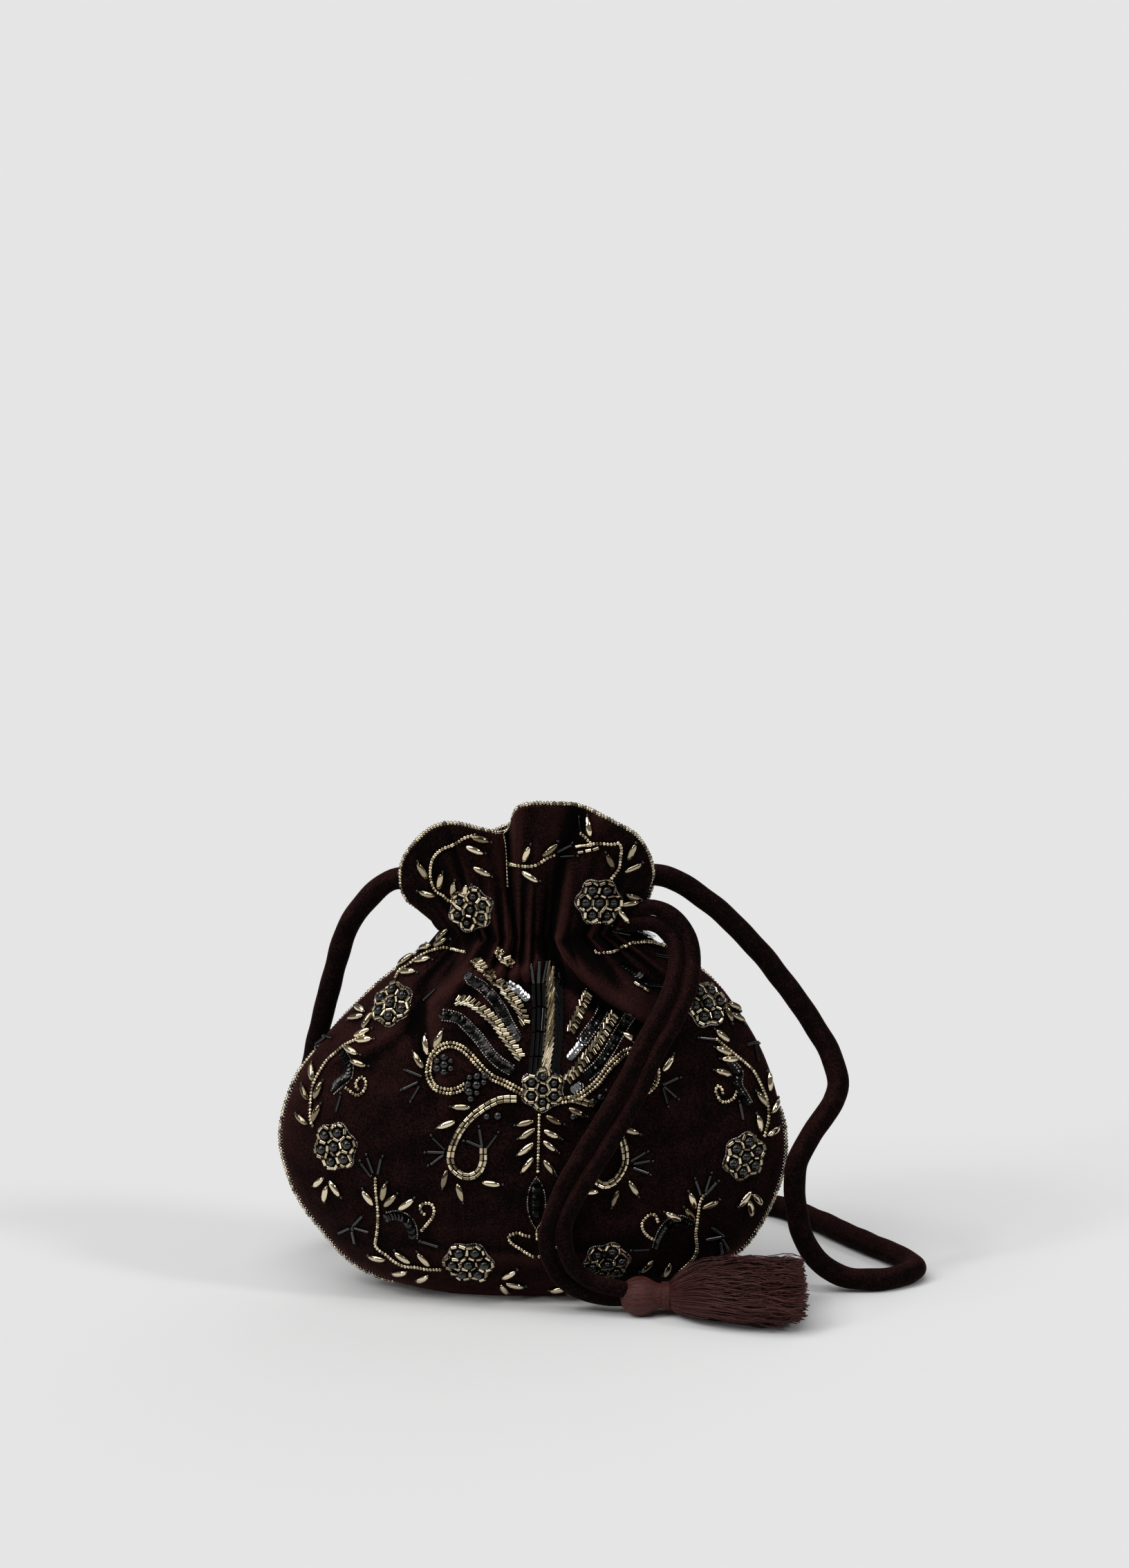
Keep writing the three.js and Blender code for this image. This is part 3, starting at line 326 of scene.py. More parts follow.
def smooth_line(points, per_span=16):
    """Points along a centripetal Catmull-Rom curve through the given points."""
    points = np.asarray(points, float)
    ends = (2 * points[0] - points[1], 2 * points[-1] - points[-2])
    held = np.vstack([ends[0], points, ends[1]])
    line = []
    t = np.linspace(0, 1, per_span, endpoint=False)[:, None]
    for i in range(1, len(held) - 2):
        p0, p1, p2, p3 = held[i - 1:i + 3]
        d0, d1, d2 = (math.sqrt(np.linalg.norm(b - a)) for a, b in ((p0, p1), (p1, p2), (p2, p3)))
        leave = ((p1 - p0) / d0 - (p2 - p0) / (d0 + d1) + (p2 - p1) / d1) * d1
        arrive = ((p2 - p1) / d1 - (p3 - p1) / (d1 + d2) + (p3 - p2) / d2) * d1
        line.append((2 * t**3 - 3 * t**2 + 1) * p1 + (t**3 - 2 * t**2 + t) * leave
                    + (3 * t**2 - 2 * t**3) * p2 + (t**3 - t**2) * arrive)
    line.append(points[-1:])
    return np.vstack(line)


def even_steps(line, step):
    """The line's points spaced evenly, about a step apart. Columns after the third go along."""
    runs = np.linalg.norm(np.diff(line[:, :3], axis=0), axis=1)
    reach = np.concatenate([[0], np.cumsum(runs)])
    count = max(2, int(round(reach[-1] / step)) + 1)
    wanted = np.linspace(0, reach[-1], count)
    return np.stack([np.interp(wanted, reach, line[:, axis]) for axis in range(line.shape[1])], axis=1)


def unit(vectors):
    return vectors / np.maximum(np.linalg.norm(vectors, axis=-1, keepdims=True), 1e-9)


def value_at(table, column, at):
    """A smooth value between the rows of a table whose first column is the place."""
    keys = table[:, 0]
    values = table[:, column]
    at = np.asarray(at, float)
    low = np.clip(np.searchsorted(keys, at, side="right") - 1, 0, len(keys) - 2)
    high = low + 1
    before = np.maximum(low - 1, 0)
    after = np.minimum(low + 2, len(keys) - 1)
    span = keys[high] - keys[low]
    t = np.clip((at - keys[low]) / span, 0, 1)
    leave = (values[high] - values[before]) / (keys[high] - keys[before]) * span
    arrive = (values[after] - values[low]) / (keys[after] - keys[low]) * span
    return ((2 * t**3 - 3 * t**2 + 1) * values[low] + (t**3 - 2 * t**2 + t) * leave
            + (3 * t**2 - 2 * t**3) * values[high] + (t**3 - t**2) * arrive)


def climb(value, low, high):
    """From 0 at low to 1 at high, without a corner."""
    t = np.clip((value - low) / (high - low), 0, 1)
    return t * t * (3 - 2 * t)


# The cloth of the pouch and of its ruffle

def fold_rise(fold, x, height):
    """How far one fold lifts the cloth at a place, fading towards the ends of its ridge."""
    rise, left, right, ridge = fold
    ridge = np.array(ridge) * (HALF_WIDTH, NECK_HEIGHT)
    last = len(ridge) - 1
    best = np.full(np.shape(x), np.inf)
    side = np.ones(np.shape(x))
    along = np.zeros(np.shape(x))
    for i in range(last):
        run = ridge[i + 1] - ridge[i]
        dx, dz = x - ridge[i][0], height - ridge[i][1]
        t = np.clip((dx * run[0] + dz * run[1]) / run.dot(run), 0, 1)
        gap_x, gap_z = dx - t * run[0], dz - t * run[1]
        distance = np.hypot(gap_x, gap_z)
        nearer = distance < best
        best = np.where(nearer, distance, best)
        side = np.where(nearer, np.sign(run[0] * gap_z - run[1] * gap_x), side)
        along = np.where(nearer, (i + t) / last, along)
    across = np.maximum(0, 1 - best / np.where(side < 0, left, right))
    return rise * across**2 * (3 - 2 * across) * np.sin(math.pi * (0.15 + 0.7 * along))


def gather_rise(u, height):
    """The pleats that the drawcord pulls into the neck, the narrow ones only close to it."""
    share = height / NECK_HEIGHT
    broad = GATHER_HEIGHT * climb(share, 0.72, 1) * np.cos(math.pi * GATHERS * u)
    narrow = FINE_GATHER_HEIGHT * climb(share, 0.84, 1) * np.cos(math.pi * FINE_GATHERS * u + 0.8)
    return (broad + narrow) * (1 - u**4)


def pleat_rise(u):
    """Tight pleats at the drawcord: round ridges with sharp valleys between them."""
    wave = np.abs(np.sin(math.pi * (PLEATS * u + 0.3 * np.sin(7 * u))))
    return PLEAT_RISE * (wave - 0.7) * (1 - u**2)


def slack(x, height):
    """The shallow unevenness of soft cloth that hangs free."""
    return (0.38 * np.sin(x / 9.1 + height / 17.3) * np.sin(height / 12.7 - x / 23.0)
            + 0.16 * np.sin(x / 4.3 - height / 6.1 + 1.3) * np.sin(height / 5.7 + x / 11.0))


def pillow(u):
    """The section across the bag: full in the middle, closing at the two seams."""
    return np.maximum(1 - np.abs(u)**2.3, 0)**0.72


def pouch_points(facing, u, height, inset):
    share = height / NECK_HEIGHT
    reach = HALF_WIDTH * np.where(u < 0, value_at(SECTIONS, LEFT, share),
                                  value_at(SECTIONS, RIGHT, share))
    x = u * (reach - inset * EDGE_WALL / CLOTH)
    if facing < 0:
        belly = value_at(SECTIONS, FRONT, share) * FRONT_BELLY
    else:
        belly = value_at(SECTIONS, BACK, share) * BACK_BELLY
    depth = (belly - inset) * pillow(u) + gather_rise(u, height)
    depth = depth + pleat_rise(u) * climb(share, 0.84, 0.98)
    if facing < 0:
        for fold in FOLDS:
            depth = depth + fold_rise(fold, x, height) * pillow(u)
    depth = depth + slack(x + 40 * (facing > 0), height) * pillow(u) * climb(share, 0.02, 0.2)
    lift = np.where(height < SEAM_RISE, np.maximum(0, SEAM_RISE * (1 - 1.6 * pillow(u))), 0)
    raised = inset * np.maximum(0, 1 - share / SECTIONS[2][0])
    return np.stack([x, facing * (SEAM_GAP / 2 + depth), np.maximum(height, lift) + raised], axis=-1)


def underside_points(facing, u, share, inset):
    reach = HALF_WIDTH * np.where(u < 0, SECTIONS[0][LEFT], SECTIONS[0][RIGHT])
    x = u * (reach - inset * EDGE_WALL / CLOTH)
    depth = SIT_DEPTH * share * pillow(u)
    lift = SEAM_RISE * np.maximum(np.maximum(1 - share * 2, 1 - 1.6 * pillow(u)), 0)
    return np.stack([x, facing * (SEAM_GAP / 2 + depth), lift + inset], axis=-1)


def rim_points(facing, at):
    rim, flare = (FRONT_RIM, FRONT_FLARE) if facing < 0 else (BACK_RIM, BACK_FLARE)
    return np.stack([
        value_at(rim, SIDE, at) * RUFFLE_HALF_WIDTH,
        facing * value_at(rim, OUT, at) * flare,
        NECK_HEIGHT + value_at(rim, UP, at) * RUFFLE_HEIGHT,
    ], axis=-1)


def ruffle_points(facing, u, share):
    neck = pouch_points(facing, u, np.full(u.shape, float(NECK_HEIGHT)), 0)
    rim = rim_points(facing, u)
    gather = facing * gather_rise(u, NECK_HEIGHT) * ((1 - share)**2 - (1 - share**1.5))
    pleats = facing * pleat_rise(u) * (np.maximum(1 - share / 0.6, 0)**1.5 - (1 - share**1.5))
    ripple = RIPPLE * np.sin(math.pi * share) * np.sin(math.pi * 9 * u + 0.5) * (1 - u**4)
    return np.stack([
        neck[..., 0] + (rim[..., 0] - neck[..., 0]) * share,
        neck[..., 1] + (rim[..., 1] - neck[..., 1]) * share**1.5 + gather + pleats + facing * ripple,
        neck[..., 2] + (rim[..., 2] - neck[..., 2]) * share,
    ], axis=-1)


def grid_normals(grid, facing):
    right = np.gradient(grid, axis=1)
    up = np.gradient(grid, axis=0)
    return unit(np.cross(right, up)) * -facing


def panel_grids(facing):
    """The outside and the inside of one panel, from the seam under the pouch to the free edge."""
    even = np.linspace(-1, 1, COLUMNS + 1)
    u = (even + np.sin(math.pi / 2 * even)) / 2
    under = np.linspace(0, 1, UNDER_ROWS, endpoint=False)[:, None]
    heights = (np.linspace(0, 1, POUCH_ROWS)**1.15)[:, None] * NECK_HEIGHT
    shares = np.linspace(0, 1, RUFFLE_ROWS + 1)[1:, None]

    def pouch(inset):
        low = underside_points(facing, u + 0 * under, under + 0 * u, inset)
        return np.vstack([low, pouch_points(facing, u + 0 * heights, heights + 0 * u, inset)])

    outside = np.vstack([pouch(0), ruffle_points(facing, u + 0 * shares, shares + 0 * u)])
    normals = grid_normals(outside, facing)
    inside = pouch(CLOTH)
    rest = outside[len(inside):] - normals[len(inside):] * RUFFLE_CLOTH
    return outside, np.vstack([inside, rest])


def wall_faces(rows, columns, facing):
    """Quads that close a wall between an outside grid and an inside grid."""
    shift = rows * columns
    faces = []
    for row in range(rows - 1):
        for column in range(columns - 1):
            a = row * columns + column
            faces.append((a, a + 1, a + 1 + columns, a + columns))
            b = a + shift
            faces.append((b, b + columns, b + columns + 1, b + 1))
        a, b = row * columns, row * columns + columns - 1
        faces.append((a, a + columns, a + columns + shift, a + shift))
        faces.append((b, b + shift, b + columns + shift, b + columns))
    for column in range(columns - 1):
        a, b = column, (rows - 1) * columns + column
        faces.append((a, a + shift, a + 1 + shift, a + 1))
        faces.append((b, b + 1, b + 1 + shift, b + shift))
    return faces if facing < 0 else [face[::-1] for face in faces]


def new_piece(name, points, faces, materials, kinds=None, sharp=None, nodes=()):
    """A mesh from points in millimetres, riding on the bag and standing for the named CAD nodes."""
    mesh = bpy.data.meshes.new(name)
    mesh.from_pydata((np.asarray(points) * MM).tolist(), [], faces)
    for material in materials:
        mesh.materials.append(material)
    if kinds is not None:
        mesh.polygons.foreach_set("material_index", kinds)
    mesh.polygons.foreach_set("use_smooth", [True] * len(mesh.polygons))
    if sharp is not None:
        mesh.set_sharp_from_angle(angle=math.radians(sharp))
    mesh.update()
    piece = bpy.data.objects.new(name, mesh)
    bpy.context.scene.collection.objects.link(piece)
    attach(piece, "root")
    if nodes:
        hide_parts(*nodes)
    return piece


def blurred(grid, reach):
    """The grid with each point moved to the mean of its neighbours along rows and columns."""
    for axis in (0, 1):
        pad = [(reach, reach) if i == axis else (0, 0) for i in range(3)]
        wide = np.pad(grid, pad, mode="edge")
        window = 2 * reach + 1
        grid = sum(np.roll(wide, -shift, axis=axis) for shift in range(window)) / window
        grid = np.take(grid, range(grid.shape[axis] - 2 * reach), axis=axis)
    return grid


def relief(grid, facing):
    """How far the cloth stands over or under its surroundings, in millimetres."""
    return np.sum((grid - blurred(grid, RELIEF_REACH)) * grid_normals(grid, facing), axis=-1)


def cloth_panel(name, grids, facing, node):
    outside, inside = grids
    rows, columns = outside.shape[:2]
    points = np.vstack([outside.reshape(-1, 3), inside.reshape(-1, 3)])
    piece = new_piece(name, points, wall_faces(rows, columns, facing), [VELVET], nodes=[node])
    # The relief goes to the velvet, which paints crests paler and hollows darker: painted light and
    # painted shade.
    heights = relief(outside, facing).ravel()
    relief_light_and_shade = piece.data.attributes.new("relief", "FLOAT", "POINT")
    relief_light_and_shade.data.foreach_set("value", np.clip(np.concatenate([heights, -heights]), *RELIEF_RANGE))
    return piece


front_grids = panel_grids(-1)
back_grids = panel_grids(1)
cloth_panel("front_velvet", front_grids, -1, "front_panel")
cloth_panel("back_velvet", back_grids, 1, "back_panel")


# Where a place on the drawing meets the front of the bag

def front_tree(grid):
    rows, columns = grid.shape[:2]
    faces = [(a, a + 1, a + 1 + columns, a + columns)
             for row in range(rows - 1) for a in range(row * columns, row * columns + columns - 1)]
    return BVHTree.FromPolygons(grid.reshape(-1, 3).tolist(), faces)


FRONT_TREE = front_tree(front_grids[0])
SIGHT_AHEAD = Vector((0, math.cos(VIEW_TILT), -math.sin(VIEW_TILT)))
SIGHT_UP = Vector((0, math.sin(VIEW_TILT), math.cos(VIEW_TILT)))
DRAWING_FOOT = Vector((0, -SIT_DEPTH, 0))
EYE = DRAWING_FOOT - SIGHT_AHEAD * VIEW_DISTANCE + SIGHT_UP * AXIS_UP + Vector((AXIS_ACROSS, 0, 0))


def on_cloth(across, up):
    """The point and the outward normal of the cloth at a place on the drawing."""
    for shrink in np.arange(1, 0.6, -0.01):
        target = DRAWING_FOOT + Vector((across * shrink, 0, 0)) + SIGHT_UP * up
        sight = (target - EYE).normalized()
        point, normal, _, _ = FRONT_TREE.ray_cast(EYE, sight)
        if point is not None:
            return point, (normal if normal.dot(sight) < 0 else -normal)
    raise ValueError(f"the place {across}, {up} misses the front")


def cloth_line(route, step):
    """Evenly spaced points on the cloth along a route of the drawing, with their normals."""
    drawn = even_steps(smooth_line(route), 0.6)
    hits = [on_cloth(*place) for place in drawn]
    both = np.array([(*point, *normal) for point, normal in hits])
    line = even_steps(both, step)
    points = line[:, :3]
    normals = unit(line[:, 3:])
    ahead = unit(np.gradient(points, axis=0))
    return points, normals, ahead


# Shapes of single beads, along X with the cloth below

def turned(rings, sides):
    """A closed body turned about X through rings of (place, radius), with a dimple at each end."""
    points = []
    for place, radius in rings:
        for side in range(sides):
            angle = 2 * math.pi * (side + 0.5) / sides
            points.append((place, radius * math.cos(angle), radius * math.sin(angle)))
    faces = []
    for ring in range(len(rings) - 1):
        for side in range(sides):
            a = ring * sides + side
            b = ring * sides + (side + 1) % sides
            faces.append((a, a + sides, b + sides, b))
    low, high = len(points), len(points) + 1
    dimple = rings[0][1] * 0.8
    points += [(rings[0][0] + dimple, 0, 0), (rings[-1][0] - dimple, 0, 0)]
    last = (len(rings) - 1) * sides
    for side in range(sides):
        a, b = side, (side + 1) % sides
        faces.append((low, a, b))
        faces.append((high, last + b, last + a))
    return np.array(points), faces


def seed_shape(length, radius, sides=8):
    h = length / 2
    return turned([(-h, radius * 0.36), (-h * 0.66, radius * 0.8), (0, radius),
                   (h * 0.66, radius * 0.8), (h, radius * 0.36)], sides)


# The bevel at the ends of a cut tube
BEVEL = 0.1


def tube_shape(length, radius, sides=7):
    """A cut glass tube, its barrel straight to a narrow bevel at each end."""
    h = length / 2
    bevel = h - BEVEL
    return turned([(-h, radius * 0.7), (-bevel, radius), (bevel, radius), (h, radius * 0.7)], sides)


def rice_shape(length, radius, sides=9):
    h = length / 2
    return turned([(-h, radius * 0.34), (-h * 0.82, radius * 0.66), (-h * 0.45, radius * 0.94),
                   (0, radius), (h * 0.45, radius * 0.94), (h * 0.82, radius * 0.66),
                   (h, radius * 0.34)], sides)


def round_shape(radius, sides=10):
    hole = 0.35
    angles = np.linspace(hole, math.pi - hole, 7)
    return turned([(-radius * math.cos(a), radius * math.sin(a)) for a in angles], sides)


def sequin_shape(radius, sides=12):
    """A thin cupped disc with a hole, its rim resting on the cloth and tipped by whoever lays it."""
    rings = [(radius, 0.0), (radius * 0.62, 0.22), (radius * 0.26, 0.30)]
    thick = 0.12
    points = []
    for lift in (0, thick):
        for reach, height in rings:
            for side in range(sides):
                angle = 2 * math.pi * side / sides
                points.append((reach * math.cos(angle), reach * math.sin(angle), height + lift))
    faces = []
    layer = len(rings) * sides
    for side in range(sides):
        after = (side + 1) % sides
        for ring in range(len(rings) - 1):
            a, b = ring * sides + side, ring * sides + after
            faces.append((a, a + sides, b + sides, b))
            faces.append((a + layer, b + layer, b + sides + layer, a + sides + layer))
        inner = (len(rings) - 1) * sides
        faces.append((side, after, after + layer, side + layer))
        faces.append((inner + side, inner + side + layer, inner + after + layer, inner + after))
    return np.array(points), faces


SHAPES = {
    "seed": seed_shape(*SEED),
    "edge": seed_shape(*EDGE_SEED, sides=7),
    "tiny": seed_shape(*TINY_SEED, sides=6),
    "tube": tube_shape(*TUBE_BEAD),
    "stair": tube_shape(*STAIR_BEAD),
    "column": tube_shape(*COLUMN_BUGLE, sides=12),
    "twist": tube_shape(*TWIST_BUGLE, sides=5),
    "bugle": tube_shape(*BUGLE),
    "rice": rice_shape(*RICE),
    "stop": seed_shape(*STOP_SEED),
    "round": round_shape(ROUND_BEAD_RADIUS),
    "middle_round": round_shape(MIDDLE_ROUND_RADIUS),
    "small_round": round_shape(SMALL_ROUND_RADIUS),
    "sequin": sequin_shape(SEQUIN_RADIUS),
}
# How far the middle of each lies off the cloth
LIFTS = {"seed": 0.75, "edge": 0, "tiny": 0.45, "tube": 0.7, "stair": 0.85, "column": 0.85,
         "twist": 0.6, "bugle": 0.6, "rice": 1.2, "stop": 0.55, "round": 1.6, "middle_round": 1.4,
         "small_round": 1.3, "sequin": 0.75}

rng = np.random.default_rng(7)


class Beadwork:
    """Beads gathered into one piece."""

    def __init__(self):
        self.points = []
        self.faces = []
        self.kinds = []
        self.shades = []
        self.count = 0

    def lay(self, shape, finish, points, normals, ahead, lift=None, jitter=0.05):
        """Lay one bead at each point, along ahead, with its back to the cloth."""
        form, faces = SHAPES[shape]
        points, normals, ahead = (np.atleast_2d(np.asarray(v, float)) for v in (points, normals, ahead))
        ahead = unit(ahead - normals * np.sum(ahead * normals, axis=1, keepdims=True))
        ahead = unit(ahead + rng.normal(0, jitter, ahead.shape))
        aside = unit(np.cross(normals, ahead))
        above = np.cross(ahead, aside)
        raised = points + normals * (LIFTS[shape] if lift is None else lift)
        size = 1 + rng.normal(0, jitter / 2, (len(points), 1, 1))
        turned_points = raised[:, None, :] + size * (
            form[None, :, 0:1] * ahead[:, None, :] + form[None, :, 1:2] * aside[:, None, :]
            + form[None, :, 2:3] * above[:, None, :])
        self.points.append(turned_points.reshape(-1, 3))
        self.shades.extend(np.repeat(rng.uniform(0, 1, len(points)), len(form)))
        for _ in range(len(points)):
            self.faces.extend(tuple(i + self.count for i in face) for face in faces)
            self.count += len(form)
        self.kinds.extend([FINISHES.index(finish)] * (len(faces) * len(points)))

    def piece(self, name, nodes=()):
        used = sorted(set(self.kinds))
        kinds = [used.index(kind) for kind in self.kinds]
        piece = new_piece(name, np.vstack(self.points), self.faces, [FINISHES[kind] for kind in used],
                          kinds=kinds, sharp=52, nodes=nodes)
        shade = piece.data.attributes.new("shade", "FLOAT", "POINT")
        shade.data.foreach_set("value", self.shades)
        return piece


def string_of(work, shape, finish, route, pitch, offset=0.0, jitter=0.05):
    """A string of beads along a route, or an even way to one side of it."""
    points, normals, ahead = cloth_line(route, pitch)
    if offset:
        points = points + np.cross(normals, ahead) * offset
        both = even_steps(np.hstack([points, normals]), pitch)
        points, normals = both[:, :3], unit(both[:, 3:])
        ahead = unit(np.gradient(points, axis=0))
    work.lay(shape, finish, points, normals, ahead, jitter=jitter)


def single(work, shape, finish, pair):
    """One long bead between two places of the drawing."""
    (ax, au), (bx, bu) = pair
    point, normal = on_cloth((ax + bx) / 2, (au + bu) / 2)
    start = on_cloth(ax, au)[0]
    end = on_cloth(bx, bu)[0]
    work.lay(shape, finish, point, normal, end - start)
    return point, normal, (end - start).normalized()


def long_bead(work, shape, finish, pair, stems):
    """A rice or bugle bead with the black bead that holds its outer end."""
    point, normal, ahead = single(work, shape, finish, pair)
    first, last = (min(math.dist(end, stem) for stem in stems) for end in pair)
    way = -1 if first > last else 1
    reach = (RICE if shape == "rice" else BUGLE)[0] / 2 + 0.9
    end = np.array(point + ahead * way * reach)
    hit, hit_normal, _, _ = FRONT_TREE.find_nearest(Vector(end))
    if hit_normal.dot(normal) < 0:
        hit_normal = -hit_normal
    upright = np.array(hit_normal) + 0.35 * np.array(ahead)
    standing = np.cross(np.array(ahead), np.array(hit_normal))
    work.lay("stop", JET, np.array(hit), unit(upright), standing)


def sequin_row(work, finish, route, pitch):
    """Sequins that overlap like scales, each tipped up on the one before."""
    points, normals, ahead = cloth_line(route, pitch)
    tipped = unit(normals - 0.55 * ahead)
    work.lay("sequin", finish, points, tipped, ahead, jitter=0.08)


def slanted_row(work, finish, route, pitch, slant, shape, offset, jitter):
    """Tube beads laid slantwise side by side."""
    points, normals, ahead = cloth_line(route, pitch)
    aside = np.cross(normals, ahead)
    lean = unit(ahead + aside * slant)
    work.lay(shape, finish, points + aside * offset, normals, lean, jitter=jitter)


def beside(point, normal, right, up):
    """A place on the cloth so far to the right of and above another, measured along the cloth."""
    normal = Vector(normal)
    side = Vector((1, 0, 0))
    side = (side - normal * side.dot(normal)).normalized()
    above = normal.cross(side)
    if above.z < 0:
        above = -above
    start = Vector(point) + side * right + above * up
    hit, hit_normal, _, _ = FRONT_TREE.find_nearest(start)
    return hit, (hit_normal if hit_normal.dot(normal) > 0 else -hit_normal), side, above


# A rosette: from which ring on its beads are large, and the line of tiny seeds round it
WIDE_RING = 5.5
SCALLOP_SEEDS = 74
SCALLOP_OFF = 3.3
SCALLOP_DEPTH = 0.7


def rosette(work, centre, turn, ring, faces_view):
    """Seven jet beads, each fenced by six tube beads, inside a scalloped line of tiny seeds. Those on
    the steep cloth of the ruffle stand proud of it and look to the front."""
    point, normal = on_cloth(*centre)

    def place(right, up):
        if not faces_view:
            return beside(point, normal, right, up)
        hit, near = on_cloth(centre[0] + right, centre[1] + up)
        proud = (near - SIGHT_AHEAD * 1.5).normalized()
        return hit, proud, Vector((1, 0, 0)), SIGHT_UP

    places = [(0.0, 0.0)]
    for i in range(6):
        angle = turn + math.pi * i / 3
        places.append((ring * math.cos(angle), ring * math.sin(angle)))
    fences = set()
    for px, py in places:
        hit, hit_normal, side, above = place(px, py)
        shape = "round" if ring > WIDE_RING else "middle_round"
        work.lay(shape, JET, hit, hit_normal, side, jitter=0.08)
        for i in range(6):
            angle = turn + math.pi * i / 3
            mid = (px + ring / 2 * math.cos(angle), py + ring / 2 * math.sin(angle))
            key = (round(mid[0], 1), round(mid[1], 1))
            if key in fences:
                continue
            fences.add(key)
            hit, hit_normal, side, above = place(*mid)
            along = side * -math.sin(angle) + above * math.cos(angle)
            work.lay("tube", GOLD, hit, hit_normal, along, lift=rng.uniform(1.0, 1.8), jitter=0.2)
    for i in range(SCALLOP_SEEDS):
        angle = 2 * math.pi * i / SCALLOP_SEEDS
        reach = ring + SCALLOP_OFF + SCALLOP_DEPTH * math.cos(6 * (angle - turn))
        hit, hit_normal, side, above = place(reach * math.cos(angle), reach * math.sin(angle))
        along = side * -math.sin(angle) + above * math.cos(angle)
        work.lay("tiny", GUNMETAL, hit, hit_normal, along)


